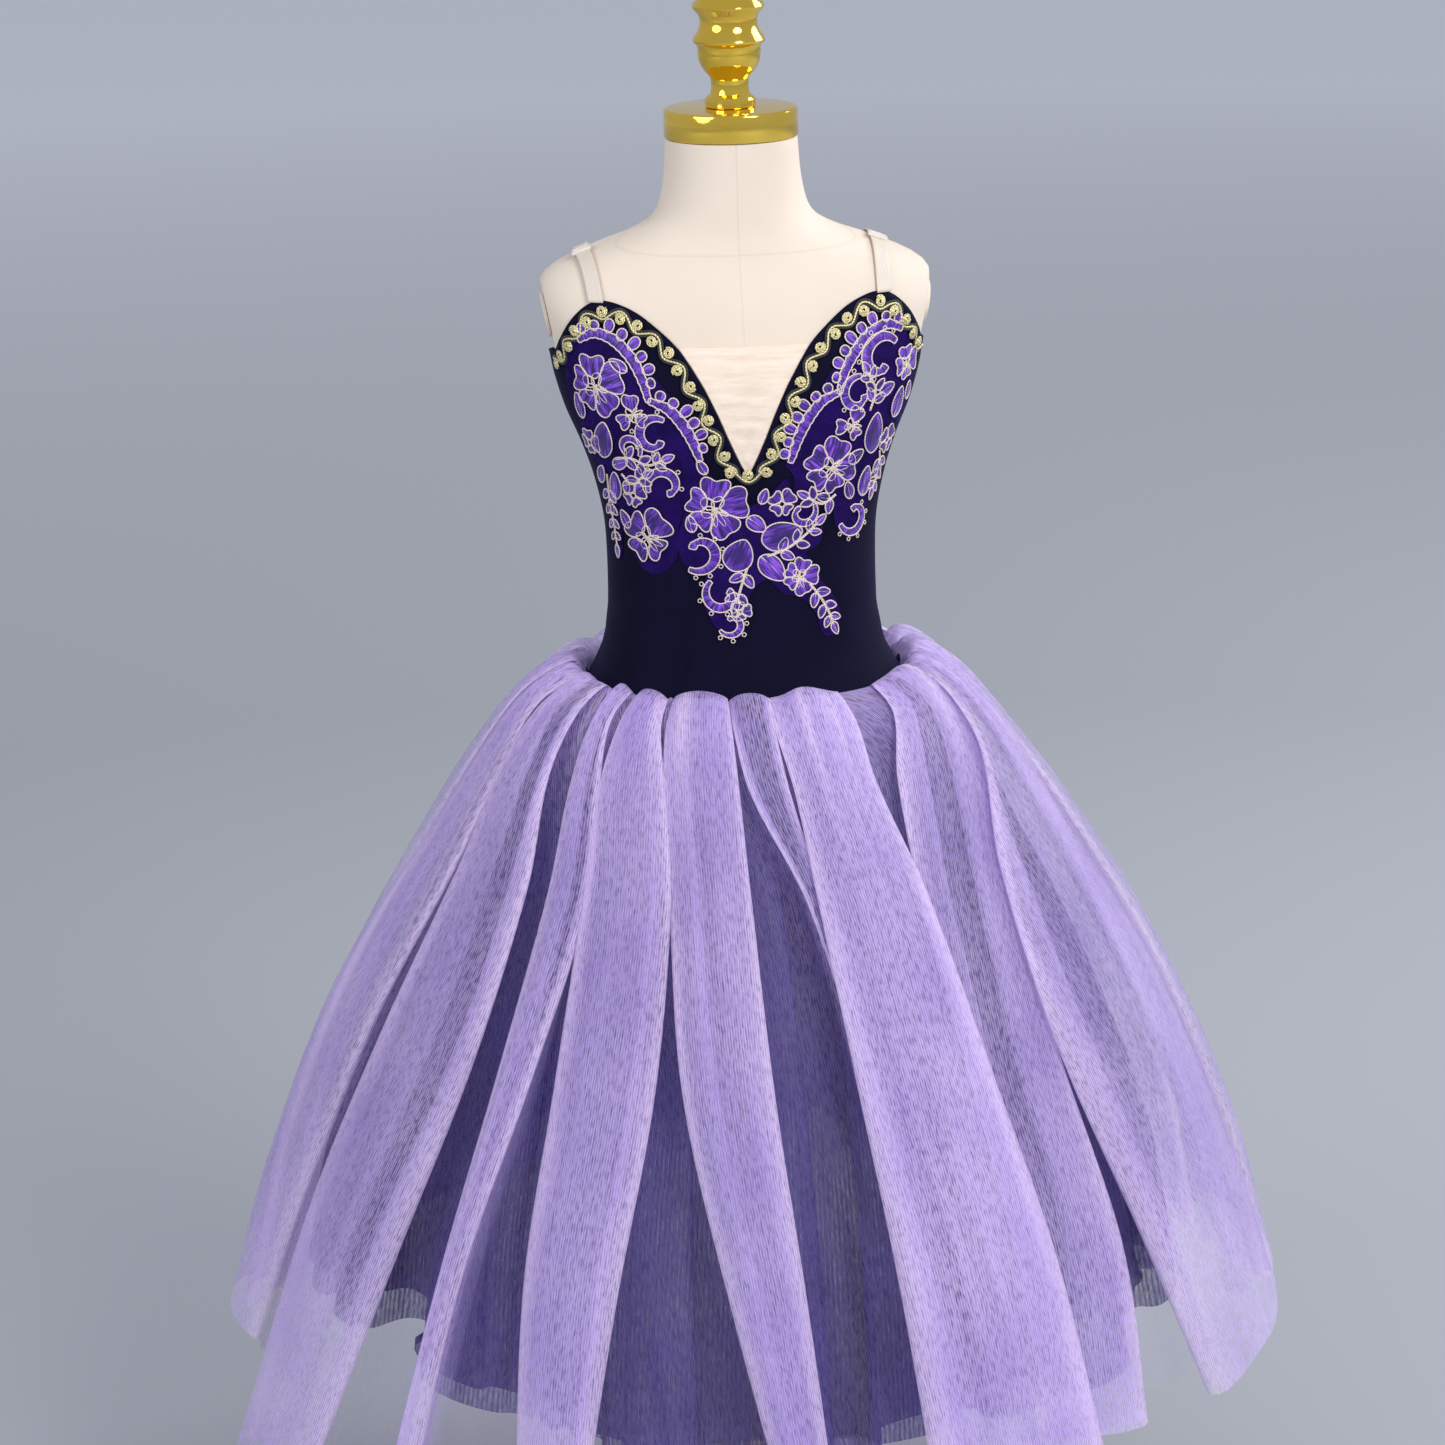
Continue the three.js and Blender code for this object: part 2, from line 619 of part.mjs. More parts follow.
// Corded lace in three pieces: a net ground with raised flowers, leaves and scrolls
const LACE = { color: 0x4a25a0, roughness: 0.75, metalness: 0 };
const LACE_GROUNDS = {
  left: [
    { girth: -40, z: 838 },
    { girth: -43, z: 822 },
    { girth: -47, z: 808 },
    { girth: -50, z: 780 },
    { girth: -60, z: 771 },
    { girth: -75, z: 773 },
    { girth: -86, z: 788 },
    { girth: -93, z: 798 },
    { girth: -96, z: 777 },
    { girth: -104, z: 776 },
    { girth: -107, z: 800 },
    { girth: -112, z: 828 },
    { girth: -120, z: 856 },
    { girth: -129, z: 884 },
    { girth: -131, z: 902 },
    { girth: -125, z: 918 },
    { girth: -114, z: 930 },
    { girth: -100, z: 935 },
    { girth: -86, z: 933 },
    { girth: -73, z: 922 },
    { girth: -60, z: 906 },
    { girth: -48, z: 884 },
    { girth: -38, z: 860 },
  ],
  centre: [
    { girth: -33, z: 850 },
    { girth: -18, z: 833 },
    { girth: 0, z: 818 },
    { girth: 12, z: 824 },
    { girth: 24, z: 836 },
    { girth: 27, z: 812 },
    { girth: 44, z: 811 },
    { girth: 51, z: 801 },
    { girth: 48, z: 789 },
    { girth: 36, z: 783 },
    { girth: 45, z: 775 },
    { girth: 47, z: 764 },
    { girth: 56, z: 754 },
    { girth: 63, z: 738 },
    { girth: 59, z: 725 },
    { girth: 50, z: 726 },
    { girth: 44, z: 742 },
    { girth: 34, z: 753 },
    { girth: 20, z: 757 },
    { girth: 12, z: 768 },
    { girth: 3, z: 762 },
    { girth: -3, z: 748 },
    { girth: -5, z: 731 },
    { girth: -14, z: 729 },
    { girth: -26, z: 740 },
    { girth: -32, z: 758 },
    { girth: -27, z: 774 },
    { girth: -40, z: 779 },
    { girth: -45, z: 792 },
    { girth: -43, z: 808 },
    { girth: -39, z: 822 },
    { girth: -36, z: 838 },
  ],
  right: [
    { girth: 38, z: 862 },
    { girth: 46, z: 880 },
    { girth: 58, z: 904 },
    { girth: 71, z: 920 },
    { girth: 84, z: 931 },
    { girth: 98, z: 934 },
    { girth: 112, z: 928 },
    { girth: 124, z: 914 },
    { girth: 131, z: 899 },
    { girth: 130, z: 880 },
    { girth: 121, z: 862 },
    { girth: 112, z: 846 },
    { girth: 101, z: 846 },
    { girth: 96, z: 826 },
    { girth: 89, z: 806 },
    { girth: 83, z: 792 },
    { girth: 72, z: 789 },
    { girth: 62, z: 797 },
    { girth: 57, z: 813 },
    { girth: 44, z: 815 },
    { girth: 31, z: 818 },
    { girth: 30, z: 838 },
  ],
};

// Motifs: the kind, its middle, its size and its turn in degrees
const LACE_MOTIFS = {
  left: [
    { kind: "flower", girth: -102, z: 904, size: 17, turn: 20 },
    { kind: "bloom", girth: -82, z: 879, size: 9, turn: 0 },
    { kind: "leaf", girth: -103, z: 864, size: 17, turn: 75 },
    { kind: "scroll", girth: -64, z: 866, size: 10, turn: 60 },
    { kind: "leaf", girth: -118, z: 880, size: 14, turn: 110 },
    { kind: "leaf", girth: -80, z: 845, size: 13, turn: 20 },
    { kind: "scroll", girth: -57, z: 826, size: 9, turn: 200 },
    { kind: "flower", girth: -67, z: 790, size: 15.5, turn: 50 },
    { kind: "leaf", girth: -96, z: 830, size: 14, turn: 80 },
    { kind: "leaf", girth: -100, z: 793, size: 14, turn: 88 },
    { kind: "bloom", girth: -76, z: 817, size: 7, turn: 30 },
    { kind: "band", girth: -81, z: 921, size: 26, turn: -38 },
    { kind: "band", girth: -60, z: 895, size: 25, turn: -62 },
    { kind: "band", girth: -45, z: 868, size: 20, turn: -68 },
  ],
  centre: [
    { kind: "flower", girth: -21, z: 822, size: 17, turn: 10 },
    { kind: "scroll", girth: -32, z: 792, size: 10, turn: 240 },
    { kind: "leaf", girth: -10, z: 792, size: 15, turn: 70 },
    { kind: "leaf", girth: 13, z: 797, size: 17, turn: 15 },
    { kind: "leaf", girth: 11, z: 778, size: 16, turn: -45 },
    { kind: "scroll", girth: -21, z: 757, size: 9, turn: 120 },
    { kind: "bloom", girth: -13, z: 738, size: 7, turn: 20 },
    { kind: "bloom", girth: 32, z: 768, size: 10.5, turn: 0 },
    { kind: "leaf", girth: 40, z: 801, size: 10, turn: 40 },
    { kind: "leaf", girth: 54, z: 738, size: 15, turn: 110 },
    { kind: "bloom", girth: 17, z: 816, size: 6.5, turn: 40 },
  ],
  right: [
    { kind: "scroll", girth: 92, z: 908, size: 13, turn: 40 },
    { kind: "scroll", girth: 72, z: 885, size: 10, turn: 100 },
    { kind: "leaf", girth: 94, z: 884, size: 13, turn: 70 },
    { kind: "bloom", girth: 66, z: 862, size: 8.5, turn: 60 },
    { kind: "leaf", girth: 88, z: 858, size: 17, turn: 85 },
    { kind: "leaf", girth: 112, z: 878, size: 16, turn: 70 },
    { kind: "flower", girth: 52, z: 836, size: 16.5, turn: 70 },
    { kind: "leaf", girth: 83, z: 829, size: 14, turn: 75 },
    { kind: "scroll", girth: 73, z: 804, size: 9, turn: 200 },
    { kind: "bloom", girth: 115, z: 908, size: 8, turn: 10 },
    { kind: "band", girth: 78, z: 919, size: 24, turn: 42 },
    { kind: "band", girth: 59, z: 893, size: 24, turn: 62 },
    { kind: "band", girth: 46, z: 868, size: 18, turn: 66 },
  ],
};

// Outlines round the origin, a unit of size wide or long
const MOTIF_SHAPES = {
  flower: (size) => lobed(size, 5, 0.34, 20),
  bloom: (size) => lobed(size, 4, 0.34, 12),
  leaf: (size) => along(size, [0, 0.16, 0.24, 0.15, 0]),
  band: (size) => along(size, [0.09, 0.15, 0.1, 0.15, 0.09]),
  scroll: (size) => hook(size, 0.24, 5),
};

// Petals in a ring: a circle that waves in and out
function lobed(size, lobes, depth, count) {
  return Array.from({ length: count }, (_, i) => {
    const turn = (i * 2 * Math.PI) / count;
    const radius = size * (1 - depth / 2 + (depth / 2) * Math.cos(turn * lobes));
    return new THREE.Vector2(radius * Math.cos(turn), radius * Math.sin(turn));
  });
}

// A leaf or band along the X axis, its half widths given from end to end
function along(size, halves) {
  const upper = halves.map((h, i) => new THREE.Vector2((i / (halves.length - 1) - 0.5) * size, h * size));
  const lower = upper.filter((p) => p.y > 0).map((p) => new THREE.Vector2(p.x, -p.y));
  return [...lower, ...upper.reverse()];
}

// A band that curls inwards
function hook(size, thick, count) {
  const arc = (scale) =>
    Array.from({ length: count + 1 }, (_, i) => {
      const turn = (i / count) * 1.45 * Math.PI;
      const radius = size * (1 - 0.45 * (i / count)) * scale;
      return new THREE.Vector2(radius * Math.cos(turn), radius * Math.sin(turn));
    });
  return [...arc(1), ...arc(1 - 2 * thick).reverse()];
}

function lacePiece(name) {
  let piece = slab(LACE_GROUNDS[name].map((p) => new THREE.Vector2(p.girth, p.z)), 0, LACE_NET);
  LACE_MOTIFS[name].forEach(({ kind, girth, z, size, turn }) => {
    const middle = new THREE.Vector2(girth, z);
    const outline = MOTIF_SHAPES[kind](size).map((p) => p.add(middle).rotateAround(middle, turn * DEGREE));
    piece = piece.add(slab(outline, LACE_NET / 2, LACE_RELIEF));
  });
  const corridor = [...insetLine(-12), ...insetLine(BRAID.room).reverse()];
  return laid(piece.subtract(slab(corridor, -1, 2 * LACE_RELIEF)));
}

Object.keys(LACE_GROUNDS).forEach((name) => {
  part.add(meshOf(`lace_${name}`, lacePiece(name), LACE));
});

// Skirt layers. A fold is a ridge: its middle and half width in degrees, at the seam and at the hem, and how
// much its hem is lifted or lowered.
const LILAC_FOLDS = [
  { top: 22, topHalf: 11, hem: 23, hemHalf: 10, lift: -14 },
  { top: 51, topHalf: 8, hem: 48, hemHalf: 3.5, lift: -8 },
  { top: 72, topHalf: 7, hem: 72, hemHalf: 11, lift: 16 },
  { top: 93, topHalf: 7, hem: 98, hemHalf: 9, lift: 24 },
  { top: 113, topHalf: 6, hem: 122, hemHalf: 6, lift: 6 },
  { top: 133, topHalf: 7, hem: 141, hemHalf: 7, lift: 0 },
  { top: 154, topHalf: 7, hem: 161, hemHalf: 5, lift: -8 },
  { top: 177, topHalf: 9, hem: 182, hemHalf: 9, lift: 0 },
  { top: 201, topHalf: 6, hem: 203, hemHalf: 5, lift: -6 },
  { top: 221, topHalf: 7, hem: 221, hemHalf: 6, lift: 4 },
  { top: 241, topHalf: 6, hem: 239, hemHalf: 6, lift: 0 },
  { top: 260, topHalf: 6, hem: 254, hemHalf: 5, lift: 12 },
  { top: 281, topHalf: 8, hem: 273, hemHalf: 9, lift: 22 },
  { top: 304, topHalf: 9, hem: 297, hemHalf: 7, lift: -18 },
  { top: 319, topHalf: 3.5, hem: 318.5, hemHalf: 2.2, lift: -10 },
  { top: 334, topHalf: 7, hem: 335, hemHalf: 3.5, lift: -16 },
  { top: 351, topHalf: 6, hem: 359.5, hemHalf: 3.2, lift: -12 },
];
// Rows of the lilac layer: height of the ridges, how much lower the valleys are, distance of the ridges from
// the body or their radius at the sides, depth of the folds, how far the section is still the body's oval,
// and how far the folds overlap (degrees)
const LILAC_ROWS = [
  { z: 675, dip: 0, out: 7.4, depth: 2.4, overlap: 0 },
  { z: 684, dip: 5, out: 24, depth: 10, overlap: 0 },
  { z: 676, dip: 0, radius: 151, depth: 13, oval: 0.8, overlap: 0 },
  { z: 644, dip: 0, radius: 183, depth: 17, oval: 0.6, overlap: 0.4 },
  { z: 582, dip: 0, radius: 225, depth: 23, oval: 0.25, overlap: 0.9 },
  { z: 480, dip: 0, radius: 284, depth: 30, oval: 0, overlap: 1.2 },
  { z: 355, dip: 0, radius: 338, depth: 36, oval: 0, overlap: 1.5 },
  { z: HEM_Z, dip: 0, radius: HEM_RADIUS, depth: 42, oval: 0, overlap: 1.7 },
];
const NAVY_ROWS = [
  { z: 675, deep: 0 },
  { z: 650, deep: 5 },
  { z: 580, deep: 8 },
  { z: 430, deep: 11 },
  { z: NAVY_HEM_Z, deep: 14 },
];
const OVAL_FRONT = 0.82;
const TULLE_LILAC = { color: 0xa48fd8, roughness: 0.7, metalness: 0 };
const TULLE_NAVY = { color: 0x2e2a66, roughness: 0.7, metalness: 0 };

// Point at an angle and a radius measured at the sides; oval 1 is the hip's section, 0 a circle
function onSkirt(angle, z, radius, oval) {
  const [s, c] = [Math.sin(angle), Math.cos(angle)];
  const deep = radius * (1 - oval * (1 - OVAL_FRONT));
  return new THREE.Vector3(radius * s, -deep * c, z);
}

// The inner face of a wall: every point moved in, square to the surface round it
function thickened(grid, thickness) {
  const [rows, columns] = [grid.length, grid[0].length];
  return grid.map((row, r) =>
    row.map((point, c) => {
      const acrossRow = grid[r][(c + 1) % columns].clone().sub(grid[r][(c + columns - 1) % columns]);
      const downRow = grid[Math.min(r + 1, rows - 1)][c].clone().sub(grid[Math.max(r - 1, 0)][c]);
      const normal = acrossRow.cross(downRow).normalize();
      return point.clone().addScaledVector(normal, thickness);
    }),
  );
}

function lilacSkirt() {
  const grid = LILAC_ROWS.map((row) => {
    const share = Math.max(0, (LILAC_ROWS[0].z - row.z) / (LILAC_ROWS[0].z - HEM_Z));
    const place = (fold) => ({
      middle: THREE.MathUtils.lerp(fold.top, fold.hem, share),
      half: THREE.MathUtils.lerp(fold.topHalf, fold.hemHalf, share),
    });
    return LILAC_FOLDS.flatMap((fold, i) => {
      const here = place(fold);
      const next = place(LILAC_FOLDS[(i + 1) % LILAC_FOLDS.length]);
      if (i === LILAC_FOLDS.length - 1) next.middle += 360;
      const from = here.middle + here.half;
      const to = next.middle - next.half;
      const valley = (from + to) / 2;
      const valleyHalf = (to - from) / 2 + row.overlap;
      const lift = row.z === HEM_Z ? fold.lift : 0;
      const point = (degrees, inward) => {
        const [angle, z, off] = [degrees * DEGREE, row.z - row.dip * inward + lift, row.depth * inward];
        return row.out ? onBody(angle, z, row.out - off) : onSkirt(angle, z, row.radius - off, row.oval);
      };
      return [
        ...[-1, -0.4, 0.4, 1].map((k) => point(here.middle + k * here.half, Math.abs(k) === 1 ? 0.22 : 0)),
        ...[-1, 0, 1].map((k) => point(valley + k * valleyHalf * 0.8, k ? 0.86 : 1)),
      ];
    });
  });
  return wall(grid, thickened(grid, CLOTH), true);
}

// Under layers: even soft waves inside the lilac layer's valleys
function navySkirt(waves, inside, seamOut, drop) {
  const count = waves * 3;
  const grid = NAVY_ROWS.map((row) => {
    const z = row.z - drop * ((NAVY_ROWS[0].z - row.z) / (NAVY_ROWS[0].z - NAVY_HEM_Z));
    const lilac = (column) => alongTable(LILAC_ROWS.slice(2), "z", Math.min(z, 676), column);
    return Array.from({ length: count }, (_, i) => {
      const angle = (i / count) * 2 * Math.PI;
      const swing = (row.deep * (1 - Math.cos(angle * waves + Math.sin(angle * 3)))) / 2;
      const radius = lilac("radius") - lilac("depth") - inside - swing;
      if (row === NAVY_ROWS[0]) return onBody(angle, z, seamOut);
      return onSkirt(angle, z, radius, lilac("oval"));
    });
  });
  return wall(grid, thickened(grid, CLOTH), true);
}

part.add(meshOf("skirt_lilac", lilacSkirt(), TULLE_LILAC));
part.add(meshOf("skirt_navy_outer", navySkirt(18, 5, BODICE_OUT + 2 * (CLEAR + CLOTH), 0), TULLE_NAVY));
part.add(meshOf("skirt_navy_inner", navySkirt(14, 24, BODICE_OUT + CLEAR + CLOTH, -14), TULLE_NAVY));
export default part;
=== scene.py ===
# A child's ballet dress on an armless dress form: the form and its stand, the skirt from the inside out, the
# bodice, and the trims sewn on it. Metres, +Z up, the front faces -Y. Tables are in mm.
import math
import random

import bmesh
import bpy
import numpy as np
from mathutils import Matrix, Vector
from mathutils.bvhtree import BVHTree


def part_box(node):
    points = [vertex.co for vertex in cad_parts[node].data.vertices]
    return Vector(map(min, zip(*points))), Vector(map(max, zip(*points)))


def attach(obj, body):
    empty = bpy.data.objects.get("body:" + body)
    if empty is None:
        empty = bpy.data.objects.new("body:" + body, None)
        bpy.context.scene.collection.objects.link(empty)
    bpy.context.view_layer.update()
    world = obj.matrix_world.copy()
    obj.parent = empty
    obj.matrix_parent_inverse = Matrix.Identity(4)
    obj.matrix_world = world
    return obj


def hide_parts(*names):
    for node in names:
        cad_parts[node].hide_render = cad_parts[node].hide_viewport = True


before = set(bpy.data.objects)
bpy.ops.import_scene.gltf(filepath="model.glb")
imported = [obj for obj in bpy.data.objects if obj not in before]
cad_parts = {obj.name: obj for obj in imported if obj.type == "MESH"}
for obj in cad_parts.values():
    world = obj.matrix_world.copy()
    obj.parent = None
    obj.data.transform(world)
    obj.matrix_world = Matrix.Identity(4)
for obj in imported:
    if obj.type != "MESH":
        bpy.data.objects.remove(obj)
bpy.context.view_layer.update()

# --- Studio: a wide pale floor of matt paper, one large soft key light at the front right, a fill and a rim
# light. The camera stands a little left of the dress, above its shoulders, and looks down on it.
bpy.ops.object.select_all(action="DESELECT")
bpy.ops.mesh.primitive_grid_add(x_subdivisions=8, y_subdivisions=8, size=80)
floor = bpy.context.object
floor.name = "studio_floor"
floor_paper = bpy.data.materials.new("pale_paper")
floor_paper.use_nodes = True
paper = floor_paper.node_tree.nodes["Principled BSDF"]
paper.inputs["Roughness"].default_value = 0.95
# The paper's colour is painted light: darker round the dress and lighter far off, so the far floor that the lamps
# barely reach looks lit.
PAPER_NEAR_PAINTED_SHADE, PAPER_FAR_PAINTED_LIGHT, PAPER_REACH = (0.43, 0.45, 0.49, 1), (0.92, 0.94, 1.0, 1), 8
place = floor_paper.node_tree.nodes.new("ShaderNodeTexCoord")
shrunk = floor_paper.node_tree.nodes.new("ShaderNodeMapping")
shrunk.inputs["Scale"].default_value = (1 / PAPER_REACH,) * 3
painted_light_falloff = floor_paper.node_tree.nodes.new("ShaderNodeTexGradient")
painted_light_falloff.gradient_type = "SPHERICAL"
shade = floor_paper.node_tree.nodes.new("ShaderNodeValToRGB")
shade.color_ramp.elements[0].color = PAPER_FAR_PAINTED_LIGHT
shade.color_ramp.elements[1].color = PAPER_NEAR_PAINTED_SHADE
shade.color_ramp.elements[1].position = 0.7
for source, target in (
    (place.outputs["Object"], shrunk.inputs["Vector"]), (shrunk.outputs["Vector"], painted_light_falloff.inputs["Vector"]),
    (painted_light_falloff.outputs["Fac"], shade.inputs["Fac"]), (shade.outputs["Color"], paper.inputs["Base Color"]),
):
    floor_paper.node_tree.links.new(source, target)
floor.data.materials.append(floor_paper)

world = bpy.data.worlds.new("studio")
bpy.context.scene.world = world
world.use_nodes = True
world.node_tree.nodes["Background"].inputs["Color"].default_value = (0.86, 0.9, 1.0, 1)
world.node_tree.nodes["Background"].inputs["Strength"].default_value = 0.50


def softbox(name, place, aim, size, power, colour):
    bpy.ops.object.light_add(type="AREA", location=place)
    lamp = bpy.context.object
    lamp.name = name
    lamp.data.shape = "DISK"
    lamp.data.size = size
    lamp.data.energy = power
    lamp.data.color = colour
    lamp.rotation_euler = (Vector(aim) - Vector(place)).to_track_quat("-Z", "Y").to_euler()


softbox("key_light", (1.9, -3.0, 3.1), (0, 0, 0.6), 2.0, 106, (1.0, 0.985, 0.96))
softbox("fill_light", (-2.9, -2.2, 2.2), (0, 0, 0.6), 2.4, 44, (0.97, 0.98, 1.0))
softbox("rim_light", (2.7, 1.3, 2.3), (0, 0, 0.6), 1.8, 50, (0.96, 0.97, 1.0))

CAMERA_DISTANCE, CAMERA_HEIGHT, CAMERA_SIDE = 2.85, 1.46, math.radians(-4)
PITCH, YAW, ROLL = math.radians(15.9), math.radians(3.69), math.radians(1.45)
SENSOR, FOCAL_LENGTH, FRAME_WIDTH = 36, 4329, 1445  # the sensor in mm, the other two in pixels of the frame
look = Vector((math.sin(YAW) * math.cos(PITCH), math.cos(YAW) * math.cos(PITCH), -math.sin(PITCH)))
level = look.cross(Vector((0, 0, 1))).normalized()
upright = level.cross(look)
camera_at = (math.sin(CAMERA_SIDE) * CAMERA_DISTANCE, -math.cos(CAMERA_SIDE) * CAMERA_DISTANCE, CAMERA_HEIGHT)
bpy.ops.object.camera_add(location=camera_at)
camera = bpy.context.object
camera.rotation_mode = "QUATERNION"
turn = camera.matrix_world.to_3x3()
turn.col[0] = level * math.cos(ROLL) - upright * math.sin(ROLL)
turn.col[1] = upright * math.cos(ROLL) + level * math.sin(ROLL)
turn.col[2] = -look
camera.rotation_quaternion = turn.to_quaternion()
camera.data.sensor_width = SENSOR
camera.data.lens = SENSOR * FOCAL_LENGTH / FRAME_WIDTH
bpy.context.scene.camera = camera
bpy.context.scene.cycles.transparent_max_bounces = 40
bpy.context.scene.view_settings.view_transform = "Standard"

# --- Form: a padded torso under a close cream cotton cover, cut flat below and at the shoulders. The cover has
# a seam down the front and the back, one over each shoulder and one round the root of the neck.
TORSO = [  # height, half width, depth to the front, depth to the back
    (500, 92, 74, 76), (512, 107, 87, 89), (560, 119, 96, 101), (650, 118, 94, 98), (674, 111, 90, 90),
    (690, 102, 84, 82), (704, 95.5, 80, 76), (720, 91.5, 77, 73), (737, 89.5, 75.5, 71), (778, 89.3, 75.5, 71),
    (800, 91, 77, 73), (828, 97, 80, 77), (852, 105, 82, 81), (874, 114, 83, 84), (896, 120.5, 82, 85),
    (914, 124, 79, 84), (940, 132, 70, 79), (952, 132, 64, 75), (964, 126, 57, 69), (973, 111, 52, 64),
    (981, 91, 49, 58), (988, 71, 46.5, 53), (998, 54, 45, 49), (1018, 46.5, 43.5, 45.5), (1050, 43.5, 43, 43.5),
]
ROUNDNESS = 2.25
ARM_LOW, ARM_HIGH = Vector((0.1188, 0, 0.905)), Vector((0.1275, 0, 0.950))


def smooth_between(keys, values, at):
    """A cubic through a table's rows, read at many places at once."""
    keys, values, at = (np.asarray(v, float) for v in (keys, values, at))
    i = np.clip(np.searchsorted(keys, at) - 1, 0, len(keys) - 2)
    before, after = np.maximum(i - 1, 0), np.minimum(i + 2, len(keys) - 1)
    step = keys[i + 1] - keys[i]
    shape = (-1,) + (1,) * (values.ndim - 1)
    slope_in = (values[i + 1] - values[before]) * (step / (keys[i + 1] - keys[before])).reshape(shape)
    slope_out = (values[after] - values[i]) * (step / (keys[after] - keys[i])).reshape(shape)
    t = np.clip((at - keys[i]) / step, 0, 1).reshape(shape)
    return (
        (2 * t**3 - 3 * t**2 + 1) * values[i]
        + (t**3 - 2 * t**2 + t) * slope_in
        + (3 * t**2 - 2 * t**3) * values[i + 1]
        + (t**3 - t**2) * slope_out
    )


FINE_Z = np.linspace(500, 1050, 1101)
FINE_TORSO = smooth_between([row[0] for row in TORSO], [row[1:] for row in TORSO], FINE_Z)


def torso_at(z):
    """The form's half width and its two depths at a height."""
    return [np.interp(z, FINE_Z, FINE_TORSO[:, k]) for k in range(3)]


def fullness(x, y, z):
    """1 on the form's surface, less inside it and more outside."""
    half, front, back = torso_at(z)
    return np.abs(x / half) ** ROUNDNESS + np.abs(y / np.where(y < 0, front, back)) ** ROUNDNESS


def outward(points):
    """Directions square to the form's surface."""
    x, y, z = points[..., 0], points[..., 1], points[..., 2]
    h = 0.5
    normal = np.stack([
        fullness(x + h, y, z) - fullness(x - h, y, z),
        fullness(x, y + h, z) - fullness(x, y - h, z),
        fullness(x, y, z + h) - fullness(x, y, z - h),
    ], -1)
    return normal / np.linalg.norm(normal, axis=-1, keepdims=True)


def on_body(angle, z, out=0.0):
    """Points in mm a distance out from the form's surface, at an angle from the front (radians) and a height."""
    angle, z, out = np.broadcast_arrays(*(np.asarray(v, float) for v in (angle, z, out)))
    s, c = np.sin(angle), np.cos(angle)
    half, front, back = torso_at(z)
    power = 2 / ROUNDNESS
    surface = np.stack([
        np.sign(s) * np.abs(s) ** power * half,
        -np.sign(c) * np.abs(c) ** power * np.where(c > 0, front, back),
        z,
    ], -1)
    return surface + outward(surface) * out[..., None]


def full_turn(count):
    """Angles in even steps, once round."""
    return np.linspace(0, 2 * math.pi, count, endpoint=False)


def smooth_piece(name, points, faces, uv):
    """A piece through points in mm, with a UV pair in metres for every corner of its faces."""
    mesh = bpy.data.meshes.new(name)
    mesh.from_pydata((points.reshape(-1, 3) / 1000).tolist(), [], faces)
    mesh.uv_layers.new(name="cloth").data.foreach_set("uv", uv.ravel())
    mesh.polygons.foreach_set("use_smooth", [True] * len(mesh.polygons))
    piece = bpy.data.objects.new(name, mesh)
    bpy.context.scene.collection.objects.link(piece)
    return piece


def cloth_grid(name, points, loop=False, uv=None):
    """A sheet through rows of points in mm. Its UV map is in metres, along the rows and down the columns."""
    rows, columns = points.shape[:2]
    spans = columns if loop else columns - 1
    r, c = (k.ravel() for k in np.meshgrid(np.arange(rows - 1), np.arange(spans), indexing="ij"))
    right = (c + 1) % columns
    faces = np.stack([r * columns + c, r * columns + right, (r + 1) * columns + right, (r + 1) * columns + c], 1)
    if uv is None:
        closed = np.concatenate([points, points[:, :1]], 1) if loop else points
        across = np.linalg.norm(np.diff(closed, axis=1), axis=2).mean(0)
        down = np.linalg.norm(np.diff(closed, axis=0), axis=2).mean(1)
        u, v = (np.concatenate([[0], np.cumsum(k)]) / 1000 for k in (across, down))
        uv = np.stack(np.meshgrid(u, v), -1)
    corners = np.stack([uv[r, c], uv[r, c + 1], uv[r + 1, c + 1], uv[r + 1, c]], 1)
    return smooth_piece(name, points, faces.tolist(), corners)


def take(piece):
    bpy.ops.object.select_all(action="DESELECT")
    bpy.context.view_layer.objects.active = piece
    piece.select_set(True)


def face_outwards(piece):
    take(piece)
    bpy.ops.object.mode_set(mode="EDIT")
    bpy.ops.mesh.select_all(action="SELECT")
    bpy.ops.mesh.normals_make_consistent(inside=False)
    bpy.ops.object.mode_set(mode="OBJECT")


